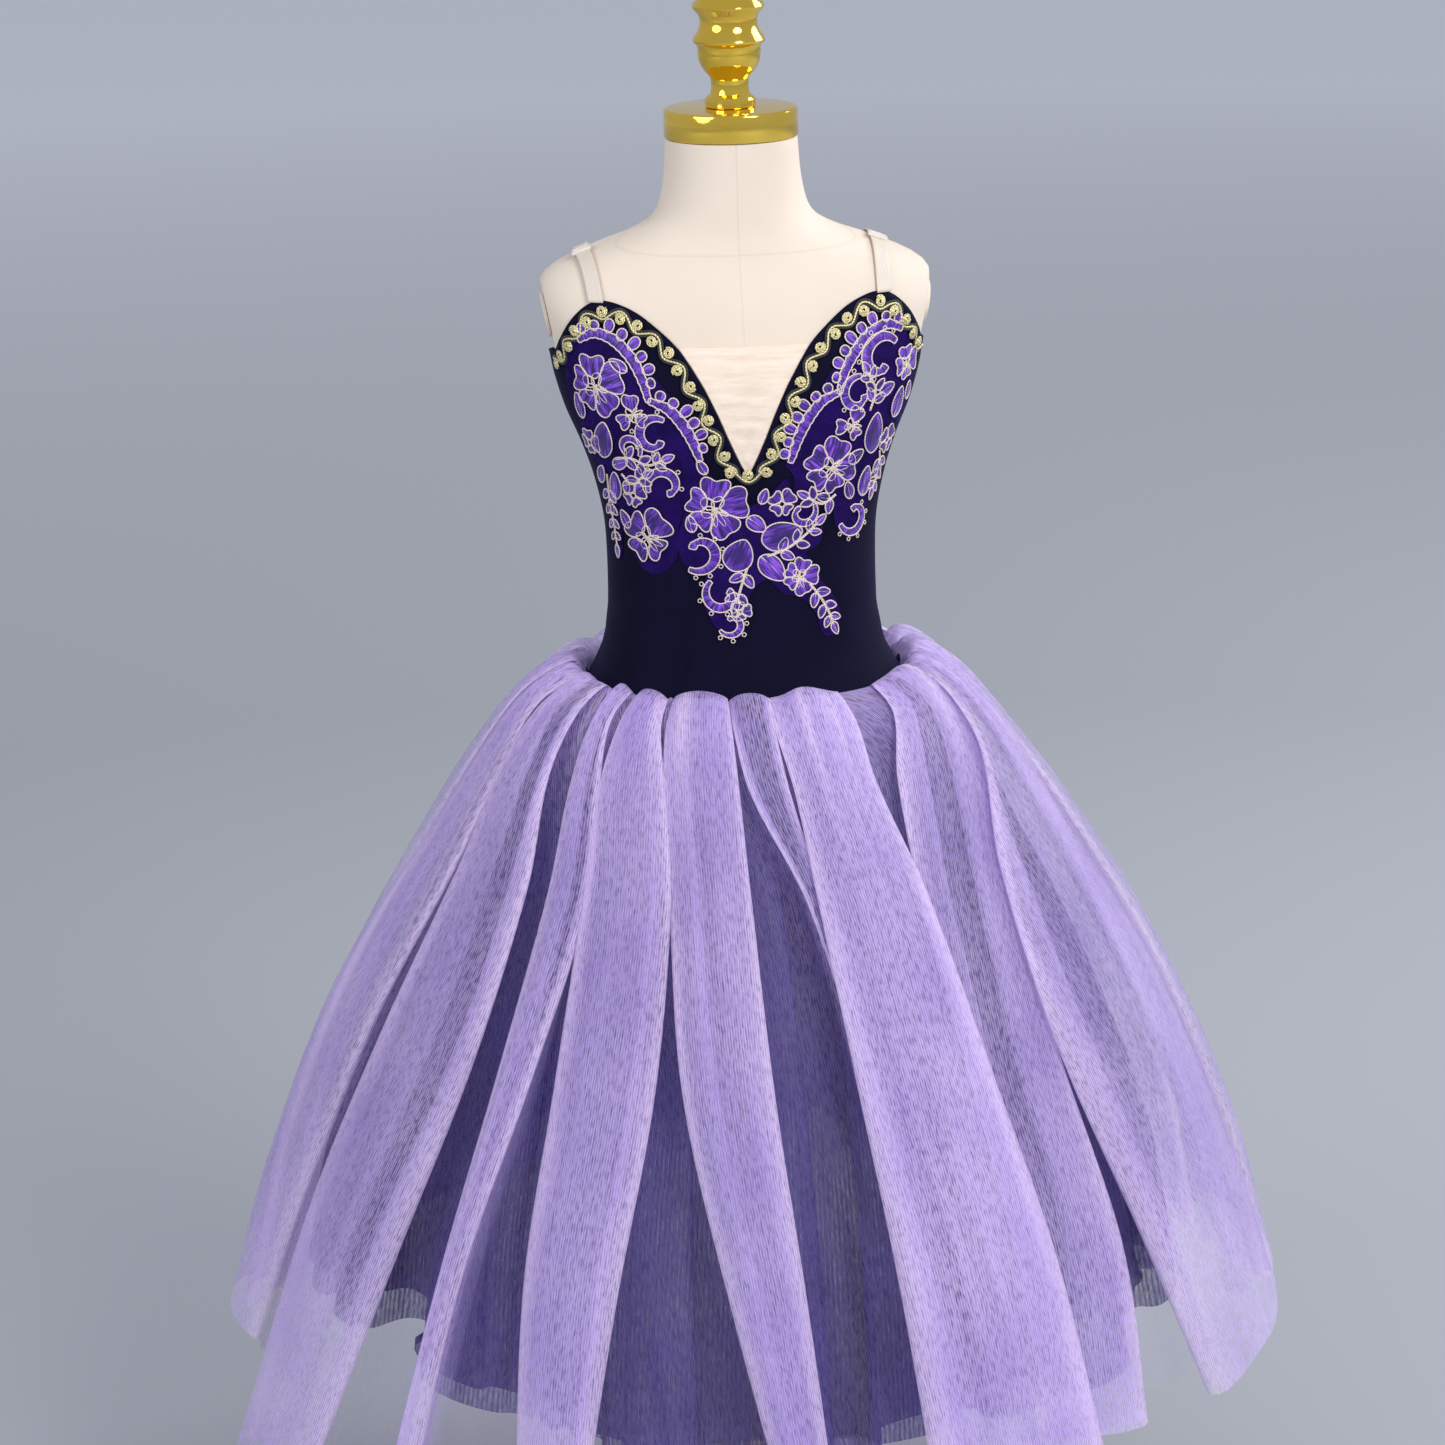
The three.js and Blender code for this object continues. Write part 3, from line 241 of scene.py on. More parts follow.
class Finish:
    """A material put together node by node: colour, weave, nap and gloss."""

    def __init__(self, name, **sockets):
        self.material = bpy.data.materials.new(name)
        self.material.use_nodes = True
        self.skin = self.material.node_tree.nodes["Principled BSDF"]
        self.set(self.skin, sockets)

    def set(self, node, sockets):
        for name, value in sockets.items():
            node.inputs[name.replace("_", " ")].default_value = value

    def node(self, kind, settings=None, **sockets):
        made = self.material.node_tree.nodes.new("ShaderNode" + kind)
        for name, value in (settings or {}).items():
            setattr(made, name, value)
        self.set(made, sockets)
        return made

    def link(self, source, target):
        self.material.node_tree.links.new(source, target)

    def to_skin(self, source, socket):
        self.link(source, self.skin.inputs[socket])

    def coords(self, kind, scale=(1, 1, 1), turned=0.0):
        mapping = self.node("Mapping")
        mapping.inputs["Scale"].default_value = scale
        mapping.inputs["Rotation"].default_value = (0, 0, turned)
        self.link(self.node("TexCoord").outputs[kind], mapping.inputs["Vector"])
        return mapping.outputs["Vector"]

    def split(self, vector):
        made = self.node("SeparateXYZ")
        self.link(vector, made.inputs[0])
        return made.outputs[0], made.outputs[1], made.outputs[2]

    def attribute(self, name):
        return self.node("Attribute", {"attribute_name": name}).outputs["Fac"]

    def noise(self, vector, scale, detail=3.0, roughness=0.55):
        made = self.node("TexNoise", Scale=scale, Detail=detail, Roughness=roughness)
        self.link(vector, made.inputs["Vector"])
        return made.outputs["Fac"]

    def bands(self, vector, along, period, distortion=0.0):
        """Sine bands along one axis of the vector, with a period in its own unit."""
        made = self.node("TexWave", {"wave_type": "BANDS", "bands_direction": along}, Distortion=distortion)
        made.inputs["Scale"].default_value = math.pi / (10 * period)
        self.link(vector, made.inputs["Vector"])
        return made.outputs["Fac"]

    def ramp(self, value, *stops):
        made = self.node("ValToRGB")
        stops = [(place, colour if isinstance(colour, tuple) else (colour,) * 3) for place, colour in stops]
        while len(made.color_ramp.elements) < len(stops):
            made.color_ramp.elements.new(0.5)
        for element, (place, colour) in zip(made.color_ramp.elements, stops):
            element.position = place
            element.color = (*colour, 1)
        self.link(value, made.inputs["Fac"])
        return made.outputs["Color"]

    def mix(self, share, first, second):
        made = self.node("Mix", {"data_type": "RGBA"})
        for value, socket in ((share, made.inputs[0]), (first, made.inputs[6]), (second, made.inputs[7])):
            if isinstance(value, tuple):
                socket.default_value = (*value, 1)
            elif isinstance(value, float):
                socket.default_value = value
            else:
                self.link(value, socket)
        return made.outputs[2]

    def math(self, operation, *values, clamp=False):
        made = self.node("Math", {"operation": operation, "use_clamp": clamp})
        for value, socket in zip(values, made.inputs):
            if isinstance(value, (int, float)):
                socket.default_value = value
            else:
                self.link(value, socket)
        return made.outputs["Value"]

    def relief(self, height, strength, depth):
        made = self.node("Bump", Strength=strength, Distance=depth)
        self.link(height, made.inputs["Height"])
        self.to_skin(made.outputs["Normal"], "Normal")

    def put_on(self, piece, slot, *nodes):
        piece.data.materials.clear()
        piece.data.materials.append(self.material)
        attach(piece, "root")
        if nodes:
            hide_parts(*nodes)


cotton = Finish("cream_cotton", Roughness=0.82, Sheen_Weight=0.08)
place = cotton.coords("Object")
x, y, z = cotton.split(place)
NECK_SEAM_TILT, NECK_SEAM_HEIGHT, SHOULDERS_FROM, SEAM_WIDTH = 0.16, 0.9865, 0.93, 1 / 1100
ring = cotton.math("MULTIPLY_ADD", y, NECK_SEAM_TILT, NECK_SEAM_HEIGHT)
to_neck_seam = cotton.math("ABSOLUTE", cotton.math("SUBTRACT", z, ring))
to_shoulder_seam = cotton.math("ADD", cotton.math("ABSOLUTE", y), cotton.math("LESS_THAN", z, SHOULDERS_FROM))
to_middle_seam = cotton.math("ABSOLUTE", x)
to_seam = cotton.math("MINIMUM", cotton.math("MINIMUM", to_middle_seam, to_neck_seam), to_shoulder_seam)
in_seam = cotton.math("SUBTRACT", 1.0, cotton.math("MULTIPLY", to_seam, 1 / SEAM_WIDTH), clamp=True)
tone = cotton.ramp(cotton.noise(place, 9, 4), (0.3, (0.80, 0.685, 0.565)), (0.7, (0.86, 0.755, 0.645)))
cotton.to_skin(cotton.mix(cotton.math("MULTIPLY", in_seam, 0.16), tone, (0.50, 0.40, 0.31)), "Base Color")
weave = cotton.math("ADD", cotton.bands(place, "Z", 0.0007, 1.5), cotton.bands(place, "X", 0.0007, 1.5))
cotton.relief(cotton.math("SUBTRACT", cotton.math("MULTIPLY", weave, 0.15), in_seam), 0.4, 0.0004)

heights = np.concatenate([[500, 500.5, 502, 505], np.linspace(509, 1050, 120)])
torso = cloth_grid("form_body", on_body(full_turn(144)[None, :], heights[:, None]), loop=True)
take(torso)
bpy.ops.object.mode_set(mode="EDIT")
bpy.ops.mesh.select_all(action="DESELECT")
bpy.ops.mesh.select_non_manifold()
bpy.ops.mesh.edge_face_add()
for side in (-1, 1):
    square_to_cut = Vector((side * (ARM_HIGH.z - ARM_LOW.z), 0, ARM_LOW.x - ARM_HIGH.x)).normalized()
    bpy.ops.mesh.select_all(action="SELECT")
    bpy.ops.mesh.bisect(
        plane_co=(side * ARM_LOW.x, 0, ARM_LOW.z), plane_no=square_to_cut, use_fill=True, clear_outer=True
    )
bpy.ops.object.mode_set(mode="OBJECT")
face_outwards(torso)
bpy.ops.object.shade_smooth_by_angle(angle=math.radians(50))
cotton.put_on(torso, "form_cover", "form_torso")

# --- Arm covers: flat ovals of board under the same cotton. They are glued on the form's shoulder ends, and
# their rims are rounded where the cotton is drawn over them.
COVER_HALF_WIDTH, COVER_HALF_HEIGHT, COVER_THICKNESS = 0.015, 0.022, 0.0024


def worked(piece, kind, **settings):
    """Shapes a piece with one modifier, and applies it."""
    take(piece)
    step = piece.modifiers.new("step", kind)
    for name, value in settings.items():
        setattr(step, name, value)
    bpy.ops.object.modifier_apply(modifier=step.name)


leaning = math.atan2(ARM_HIGH.x - ARM_LOW.x, ARM_HIGH.z - ARM_LOW.z)
for side, word in ((-1, "left"), (1, "right")):
    node = "form_arm_plate_" + word
    low, high = (Vector(corner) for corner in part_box(node))
    bpy.ops.object.select_all(action="DESELECT")
    bpy.ops.mesh.primitive_cylinder_add(vertices=56, radius=COVER_HALF_WIDTH, depth=COVER_THICKNESS)
    plate = bpy.context.object
    plate.name = "arm_cover_" + word
    bpy.ops.object.mode_set(mode="EDIT")
    bpy.ops.mesh.select_all(action="SELECT")
    bpy.ops.transform.resize(value=(1, COVER_HALF_HEIGHT / COVER_HALF_WIDTH, 1))
    bpy.ops.object.mode_set(mode="OBJECT")
    worked(plate, "BEVEL", width=0.0008, segments=3)
    plate.rotation_euler = (0, side * (math.pi / 2 + leaning), 0)
    plate.location = (low + high) / 2
    bpy.ops.object.transform_apply(location=True, rotation=True, scale=True)
    bpy.ops.object.shade_smooth_by_angle(angle=math.radians(35))
    cotton.put_on(plate, "form_cover", node)

# --- Metalwork: the neck cap, the finial screwed on it, the pole and the round base. Each is turned from
# steel, polished and gold plated. The pole is screwed into the base and carries the form.
gold = Finish("polished_gold", Metallic=1.0)
tone = gold.noise(gold.coords("Object"), 30, 3)
gold.to_skin(gold.ramp(tone, (0.35, (0.96, 0.64, 0.085)), (0.7, (1.0, 0.71, 0.12))), "Base Color")
gold.to_skin(gold.ramp(tone, (0.3, 0.07), (0.75, 0.13)), "Roughness")
gold.relief(gold.noise(gold.coords("Object", (1, 1, 14)), 60, 2), 0.03, 0.0006)


def turned(name, profile, sides, *nodes):
    """A solid turned on the lathe, from rows of radius and height in mm: a disc, extruded ring by ring."""
    bpy.ops.object.select_all(action="DESELECT")
    radius, z = profile[0]
    bpy.ops.mesh.primitive_circle_add(
        vertices=sides, radius=radius / 1000, location=(0, 0, z / 1000), fill_type="NGON"
    )
    piece = bpy.context.object
    piece.name = name
    bpy.ops.object.transform_apply(location=True)
    bpy.ops.object.mode_set(mode="EDIT")
    bpy.ops.mesh.select_all(action="SELECT")
    for next_radius, next_z in profile[1:]:
        bpy.ops.mesh.extrude_region_move(TRANSFORM_OT_translate={"value": (0, 0, (next_z - z) / 1000)})
        grown = next_radius / radius
        bpy.ops.transform.resize(value=(grown, grown, 1), center_override=(0, 0, next_z / 1000))
        radius, z = next_radius, next_z
    bpy.ops.object.mode_set(mode="OBJECT")
    face_outwards(piece)
    bpy.ops.object.shade_smooth_by_angle(angle=math.radians(32))
    gold.put_on(piece, "gold_metal", *nodes)


turned("neck_cap", [
    (43.0, 1050.3), (44.0, 1050.6), (44.4, 1051.4), (44.4, 1066.8), (44.0, 1068.2), (43.0, 1069.1), (41.5, 1069.3),
], 96, "form_neck_cap")
turned("finial", [
    (16.2, 1069.6), (16.8, 1070.4), (16.8, 1074.6), (15.8, 1076.0), (13.2, 1078.2), (12.6, 1081), (12.6, 1087.5),
    (13.4, 1089.6), (16.0, 1092.4), (18.6, 1096.2), (20.3, 1100.4), (21.0, 1105), (20.8, 1108.6), (21.6, 1110.4),
    (23.6, 1112), (24.0, 1113.6), (23.2, 1115.4), (20.6, 1119), (19.2, 1123), (19.0, 1127), (20.2, 1130.4),
    (23.2, 1133.6), (24.0, 1135.6), (23.0, 1137.8), (19.0, 1141.4), (15.0, 1146), (14.0, 1149.6), (14.8, 1153.6),
    (16.0, 1158.6), (15.6, 1164.4), (13.4, 1170), (10.0, 1174.6), (5.6, 1178.4), (1.5, 1180.5),
], 72, "form_finial")
turned("pole", [
    (24.6, 26.4), (25.0, 27.4), (24.6, 32), (22.0, 37), (16.5, 43), (13.4, 49), (12.5, 56), (12.5, 267),
    (14.0, 269), (17.0, 272), (17.5, 275), (17.5, 299), (17.0, 302), (14.0, 305), (12.5, 307), (12.5, 476),
    (15.0, 481), (22.0, 487), (26.4, 491), (27.0, 494), (27.0, 499.6),
], 64, "form_pole")
turned("base", [
    (146, 0.0), (148.6, 0.4), (149.8, 2.2), (149.8, 6.5), (148.4, 9.2), (142, 11.6), (130, 13.8), (100, 16.2),
    (60, 19), (44, 21.6), (35, 24.4), (32, 26),
], 128, "form_base")

# --- Under-layers of the skirt: two layers of navy tulle, gathered into the bodice's seam. Each is a straight
# strip that stands in round flutes, and ends above the lilac layer with a raw cut edge.
SKIRT = [  # row: height, radius of the ridges at the sides, depth of the lilac folds, how oval the section is
    (685, 0, 1.2, 1.0), (688, 0, 5, 1.0), (679, 151, 10, 0.8), (644, 183, 16, 0.6),
    (582, 225, 23, 0.25), (480, 286, 30, 0), (355, 343, 36, 0), (198, 384, 42, 0),
]
HEM = SKIRT[-1][0]
LAST_FALL = SKIRT[-2][0] - HEM
OVAL = 0.18  # how much shallower than wide the section is, where it is fully oval
OFF_THE_FORM = (3.6, 18)  # how far the ridge line stands off the form, in the two rows at the seam


def skirt_ring(row, angle, inside, lower=0.0):
    """One row of the skirt: points at angles, at distances inside the ridge line of the lilac folds."""
    z, radius, _, oval = SKIRT[row]
    if row < len(OFF_THE_FORM):
        return on_body(angle, z - lower, OFF_THE_FORM[row] - inside)
    radius = radius - inside
    return np.stack([radius * np.sin(angle), -radius * (1 - oval * OVAL) * np.cos(angle), z - lower + 0 * angle], -1)


def hem_raised(rings, height):
    """The rings with the last one taken up along the fall of the cloth, by a height at every point."""
    return [*rings[:-1], rings[-1] + (rings[-2] - rings[-1]) * (height / LAST_FALL)[:, None]]


def down_the_skirt(rings, rows, ease=1.0):
    """Fills in rows between the rings, as a smooth fall of the cloth. The rows lie closer near the waist."""
    rings = np.array(rings)
    gaps = np.linalg.norm(np.diff(rings, axis=0), axis=2).mean(1)
    at = np.concatenate([[0], np.cumsum(gaps)])
    return smooth_between(at, rings, at[-1] * np.linspace(0, 1, rows) ** ease)


def soft_creases(points, random_turns, waves, strength):
    """Moves the cloth in and out by soft ridges and troughs, uneven in length, depth and spacing."""
    rows, columns = points.shape[:2]
    turn = full_turn(columns)[None, :]
    fall = np.linspace(0, 1, rows)[:, None]
    moved = np.zeros((rows, columns))
    for _ in range(waves):
        count = random_turns.randint(9, 60)
        start, drift = random_turns.uniform(0, 2 * math.pi), random_turns.uniform(-0.35, 0.35)
        middle, length = random_turns.uniform(0.1, 1.0), random_turns.uniform(0.15, 0.5)
        ridges = np.exp(-(((fall - middle) / length) ** 2)) * np.sin(count * (turn + drift * fall) + start)
        moved += ridges * strength * random_turns.uniform(0.3, 1) / waves**0.5
    out = points.copy()
    out[..., 2] = 0
    out /= np.maximum(np.linalg.norm(out, axis=-1, keepdims=True), 1e-6)
    return points + out * (moved * np.minimum(1, fall * 8))[..., None]


def tulle(name, shade, deep, cover, rib, bloom):
    """Sheer tulle: threads run down the cloth in fine ribs; where it is gathered or folded it covers more. Where it
    is marked fold, its colour is painted paler, a painted highlight.
    """
    cloth = Finish(name, Roughness=0.62, Sheen_Weight=bloom, Sheen_Roughness=0.4)
    threads = cloth.coords("UV")
    ribs = cloth.bands(threads, "X", rib)
    dashes = cloth.ramp(cloth.noise(cloth.coords("UV", (1, 0.22, 1)), 640, 1.0, 0.5), (0.36, 0.0), (0.54, 1.0))
    streaks = cloth.noise(cloth.coords("UV", (1, 0.05, 1)), 75, 3, 0.6)
    clouds = cloth.noise(threads, 11, 3, 0.6)
    one_layer = cloth.math("MULTIPLY_ADD", cloth.math("SUBTRACT", ribs, 0.5), 0.24, cover)
    one_layer = cloth.math("MULTIPLY_ADD", cloth.math("SUBTRACT", dashes, 0.7), 0.19, one_layer)
    one_layer = cloth.math("MULTIPLY_ADD", cloth.math("SUBTRACT", streaks, 0.5), 0.42, one_layer)
    open_share = cloth.math("SUBTRACT", 1.0, one_layer, clamp=True)
    layers = cloth.math("ADD", 1.0, cloth.attribute("layers"))
    covered = cloth.math("SUBTRACT", 1.0, cloth.math("POWER", open_share, layers), clamp=True)
    cloth.to_skin(covered, "Alpha")
    tone = cloth.mix(cloth.ramp(clouds, (0.3, 0.0), (0.7, 1.0)), deep, shade)
    # Painted highlight: where a sheet is marked fold, at the lilac's fold edges and its crests near the waist, the
    # colour is mixed towards a paler tone.
    fold_highlight_colour = tuple(min(1, 1.15 * c + 0.06) for c in shade)
    cloth.to_skin(cloth.mix(cloth.math("MULTIPLY", cloth.attribute("fold"), 0.8), tone, fold_highlight_colour), "Base Color")
    cloth.relief(cloth.math("ADD", ribs, dashes), 0.18, 0.0004)
    return cloth


def measured(points, axis):
    """Lengths along the rows (1) or down the columns (0) of a grid, counted from its first point."""
    steps = np.linalg.norm(np.diff(points, axis=axis), axis=2)
    return np.concatenate([np.zeros_like(steps.take([0], axis)), np.cumsum(steps, axis)], axis)


def mark(piece, name, values):
    """Keeps a number for every corner point of a sheet, for its material."""
    layer = piece.data.attributes.new(name, "FLOAT", "POINT")
    layer.data.foreach_set("value", np.asarray(values, float).ravel())


navy = tulle("navy_tulle", (0.046, 0.029, 0.235), (0.027, 0.017, 0.150), 0.69, 0.0031, 0.02)
NAVY_FALL = [  # for each row of the skirt: depth of the flutes, inset, more inset at the sides, drop
    (0, 0.3, 0, 12), (1, 4, 0, 9), (3, 6, 2, 6), (7, 8, 5, 3), (13, 9, 9, 3), (20, 10, 14, 2), (30, 11, 20, 0),
    (40, 12, 26, 0),
]
NAVY_ROWS, NAVY_LOWER_ROWS, NAVY_THREAD_ROW = 84, slice(-50, None), -20
FLUTE_COLUMNS = 38


def navy_layer(name, node, flutes, inside, hem, seed, closeness, flare, dip):
    """A fluted layer. It stands inside the lilac folds, flares out at the left, and its hem may dip in front."""
    turns = random.Random(seed)
    columns = flutes * FLUTE_COLUMNS
    t = full_turn(columns)
    phase = flutes * t
    for k, size in ((2, 1.1), (3, 0.8), (5, 0.5)):
        phase = phase + size * np.sin(k * t + turns.uniform(0, 6))
    depth = 1 + sum(0.16 * np.sin(k * t + turns.uniform(0, 6)) for k in (3, 5, 8))
    drop = sum(size * np.sin(k * t + turns.uniform(0, 6)) for k, size in ((2, 6), (5, 5), (9, 4)))
    left = np.maximum(0, -np.sin(t))
    sides = np.sin(t) ** 2 * (1 - flare * left)
    rings = []
    for row, (fold_depth, (swing, inset, at_sides, lower)) in enumerate(zip([row[2] for row in SKIRT], NAVY_FALL)):
        full = min(1, max(0, (row - 1) / 4))
        angle = t + full * 1.45 / (2 * flutes) * np.sin(2 * phase) + 0.02 * row * np.sin(4 * t + seed)
        away = fold_depth + inset * inside / 10 * (1 - 0.3 * flare * left) + sides * at_sides
        rings.append(skirt_ring(row, angle, away + swing * depth * (1 - np.cos(phase)) / 2, lower))
    dipped = dip * np.clip(np.cos(t), 0, 1) ** 4
    rings = hem_raised(rings, hem - HEM + drop + 22 * flare * left - dipped)
    points = soft_creases(down_the_skirt(rings, NAVY_ROWS), turns, 14, 1.6)
    closed = np.concatenate([points, points[:, :1]], 1)
    around, down = measured(closed, 1), measured(closed, 0)
    threads = np.stack([around[NAVY_THREAD_ROW] * np.ones((NAVY_ROWS, 1)), down], -1) / 1000
    piece = cloth_grid(name, points, loop=True, uv=threads)
    piece.data.flip_normals()
    mark(piece, "layers", np.exp(-down[:, :-1] / 60) * 1.6 + closeness)
    mark(piece, "fold", np.zeros(points.shape[:2]))
    navy.put_on(piece, "tulle_navy", node)
    return piece


def press_inside(layer, cover, gap):
    """Presses a layer inwards, to a gap in metres, wherever the troughs of the layer over it would cut it."""
    beside = range(-4, 5)  # columns that give way together
    over = BVHTree.FromPolygons([v.co for v in cover.data.vertices], [f.vertices for f in cover.data.polygons])
    corners = layer.data.vertices
    axes = [Vector((0, 0, corner.co.z)) for corner in corners]
    reach = [over.ray_cast(axis, (corner.co - axis).normalized())[3] or 1.0 for corner, axis in zip(corners, axes)]
    reach = np.array(reach).reshape(NAVY_ROWS, -1)
    reach = np.min([np.roll(reach, step, 1) for step in beside], 0)
    for corner, axis, far in zip(corners, axes, reach.ravel() - gap):
        out = corner.co - axis
        if far < out.length:
            corner.co = axis + out.normalized() * far


navy_inner = navy_layer("navy_tulle_inner", "skirt_navy_inner", 14, 26, 262, 5, 0.7, 0.4, 34)
navy_outer = navy_layer("navy_tulle_outer", "skirt_navy_outer", 18, 10, 248, 9, 0.0, 1.0, 0)
press_inside(navy_inner, navy_outer, 0.0009)

# --- Top layer of the skirt: one wide strip of lilac tulle, gathered into the same seam. It is laid in long
# soft folds that widen, narrow and swing aside as they fall, with a single layer between them.
FOLD_HEIGHTS = (198, 330, 460, 575, 640, 690)  # where each fold's edges are given, in degrees from the front
LILAC_FOLDS = [  # left edge, right edge, share turned under at the left and at the right, rise of the hem
    ((18, 16, 12.5, 7.5, -1.5, -7), (20, 17.5, 14, 9.6, 5.2, 3.2), 0.1, 0.1, -6),
    ((15, 13.2, 11.2, 9, 7.5, 3.9), (33, 31.2, 29, 27.3, 24.5, 26.5), 0.7, 0.3, -14),
    ((29.5, 28.5, 27.6, 28, 30.8, 43), (39, 41.4, 42.0, 51, 62, 68), 0.3, 0.4, 46),
    ((54, 48.3, 42.9, 47, 59, 66), (79, 80, 82, 84, 84, 84), 0.22, 0.2, 44),
    ((84, 84, 85, 86, 87, 88), (110, 109, 108, 107, 106, 105), 0.2, 0.3, 38),
    ((116, 114, 113, 111, 110, 108), (128, 126, 124, 122, 120, 119), 0.6, 0.3, 6),
    ((134, 132, 130, 128, 127, 126), (148, 146, 144, 142, 141, 140), 0.4, 0.5, 0),
    ((156, 154, 151, 149, 148, 147), (166, 166, 164, 162, 161, 161), 0.7, 0.2, -8),
    ((173, 172, 171, 170, 169, 168), (191, 189, 188, 187, 186, 186), 0.4, 0.4, 0),
    ((198, 197, 196, 195, 195, 195), (208, 208, 208, 207, 207, 207), 0.2, 0.7, -6),
    ((215, 215, 215, 215, 214, 214), (227, 227, 227, 228, 228, 228), 0.5, 0.4, 4),
    ((233, 233, 234, 234, 235, 235), (245, 245, 246, 247, 247, 247), 0.3, 0.6, 0),
    ((249, 250, 251, 253, 254, 254), (258, 260, 262, 265, 266, 266), 0.3, 0.3, 12),
    ((262, 265, 268, 271, 273, 272), (278.5, 285, 289.3, 291, 289, 283), 0.2, 0.2, 46),
    ((286, 290, 295, 293.8, 292, 287), (301, 307.6, 313.8, 313, 308.6, 305), 0.35, 0.3, -18),
    ((314, 317.6, 320.3, 319.6, 316.6, 313), (315.6, 318.9, 323.5, 326.4, 323, 317.6), 0.3, 0.3, -10),
    ((331.2, 330, 329.6, 327.6, 324.2, 322), (336, 338.6, 341.7, 342, 338.6, 332), 0.75, 0.25, -16),
    ((360.5, 355.2, 348.5, 343.4, 339.6, 335), (362.8, 361, 358.3, 356, 354.4, 352.2), 0.3, 0.75, -12),
]
NOT_TUCKED = (1,) * len(FOLD_HEIGHTS)
TUCKED = {  # folds with a tucked edge: how far out the left and the right edge stand at those heights
    0: ((0.25, 0.25, 0.25, 0.6, 1, 1), (0.25, 0.25, 0.25, 0.35, 0.9, 1)),
    2: ((0.35, 0.35, 0.35, 0.6, 1, 1), (1, 1, 0.8, 0.35, 0.35, 0.35)),
}
STEPS = {"gap": 7, "turn": 2, "back": 6, "edge": 4, "top": 13}  # points across each part of a fold
LILAC_ROWS, LILAC_LOWER_ROWS, EASE = 108, slice(-60, None), 1.25
LEANING = (0, 0, 1, 2, 3, 4, 4, 5)  # how far a fold may stand in or out, for each row of the skirt
DOUBLED_FOLD = 1  # the one that lies double, so it covers more
THREAD_SHIFT = 311.7  # between one fold's pattern of threads and the next one's


def fold_at(k, z):
    """A fold's left and right edge at a height, and how far out each edge stands: 1 is in full."""
    heights = [np.clip(z, FOLD_HEIGHTS[0], FOLD_HEIGHTS[-1])]
    rows = (*LILAC_FOLDS[k][:2], *TUCKED.get(k, (NOT_TUCKED, NOT_TUCKED)))
    return [float(smooth_between(FOLD_HEIGHTS, row, heights)[0]) for row in rows]


def fold_section(z, depth, radius):
    """One row of the lilac layer as lists: angle, place in the fold's depth (1 outside), edge, fold and top marks."""
    angles, places, edges, owners, tops = [], [], [], [], []
    rim = math.degrees(0.16 * depth / max(radius, 120))

    def add(step, start, end, low, high, bow=0.0, bulge=0.0, at_edge=0.0, owner=0, top=0):
        share = (np.arange(step) + 0.5) / step
        arch = np.sin(math.pi * share)
        angles.extend(start + (end - start) * share + bulge * arch)
        places.extend(low + (high - low) * share + bow * arch)
        edges.extend([at_edge] * step)
        owners.extend([owner] * step)
        tops.extend(top * arch if top > 0 else [top] * step)

    known = [(*fold_at(k, z), *fold[2:4]) for k, fold in enumerate(LILAC_FOLDS)]
    for k, (left, right, lie, rise, under_left, under_right) in enumerate(known):
        before = known[k - 1]
        width = right - left
        from_angle = before[1] - (before[1] - before[0]) * before[5] - (360 if k == 0 else 0)
        turn_left, turn_right = left + width * under_left, right - width * under_right
        add(STEPS["gap"], from_angle, turn_left, 0, 0, bow=-0.12, owner=k, top=-1)
        add(STEPS["turn"], turn_left, turn_left, 0.05 * lie, 0.35 * lie, bulge=rim / 2 * lie, owner=k)
        add(STEPS["back"], turn_left, left, 0.38 * lie, 0.52 * lie, owner=k)
        add(STEPS["edge"], left, left, 0.52 * lie, 0.8 * lie, bulge=-rim * lie, at_edge=1, owner=k)
        add(STEPS["top"], left, right, 0.8 * lie, 0.8 * rise, bow=0.2 * min(lie, rise), owner=k, top=1)
        add(STEPS["edge"], right, right, 0.8 * rise, 0.52 * rise, bulge=rim * rise, at_edge=1, owner=k)
        add(STEPS["back"], right, turn_right, 0.52 * rise, 0.38 * rise, owner=k)
        add(STEPS["turn"], turn_right, turn_right, 0.35 * rise, 0.05 * rise, bulge=-rim / 2 * rise, owner=k)
    return np.radians(angles), np.array(places), np.array(edges), np.array(owners), np.array(tops)


lilac = tulle("lilac_tulle", (0.70, 0.55, 0.97), (0.53, 0.39, 0.86), 0.33, 0.0017, 0.15)
falls = random.Random(21)
rings = []
for row, (z, radius, depth, oval) in enumerate(SKIRT):
    angle, place, edge, owner, top = fold_section(z if row > 1 else 690, depth, radius)
    leaning = np.array([falls.uniform(-1, 1) for _ in LILAC_FOLDS])[owner] * LEANING[row]
    rings.append(skirt_ring(row, angle, depth * (1 - place) + leaning * (place > 0.3)))
lift = np.array([fold[4] for fold in LILAC_FOLDS], float)[owner]
softened = np.convolve(np.concatenate([lift[-20:], lift, lift[:20]]), np.hanning(41) / np.hanning(41).sum(), "valid")
uneven = 5 * np.sin(5 * angle + 1) + 4 * np.sin(11 * angle) + 2.5 * np.sin(23 * angle + 2)
points = soft_creases(down_the_skirt(hem_raised(rings, softened + uneven), LILAC_ROWS, EASE), falls, 16, 1.8)
fall = np.linspace(0, 1, LILAC_ROWS)[:, None] ** EASE
gathers = np.exp(-fall * 12) * np.sin(74 * angle + 3 * np.sin(7 * angle)) * 1.3
puff = 0.45 * np.sin(31 * angle + 2 * np.sin(5 * angle)) + 1.5 * np.clip(top, 0, 1) ** 0.7 - 0.6
out = points * (1, 1, 0) / np.linalg.norm(points * (1, 1, 0), axis=-1, keepdims=True)
points = points + out * ((gathers + np.exp(-fall * 7) * puff * 2.6) * np.minimum(1, fall * 30))[..., None]
points[..., 2] += np.exp(-((fall - 0.03) ** 2) / 0.003) * puff * 3.6
closed = np.concatenate([points, points[:, :1]], 1)
around, down = measured(closed, 1), measured(closed, 0)
one_side = STEPS["turn"] + STEPS["back"] + STEPS["edge"]
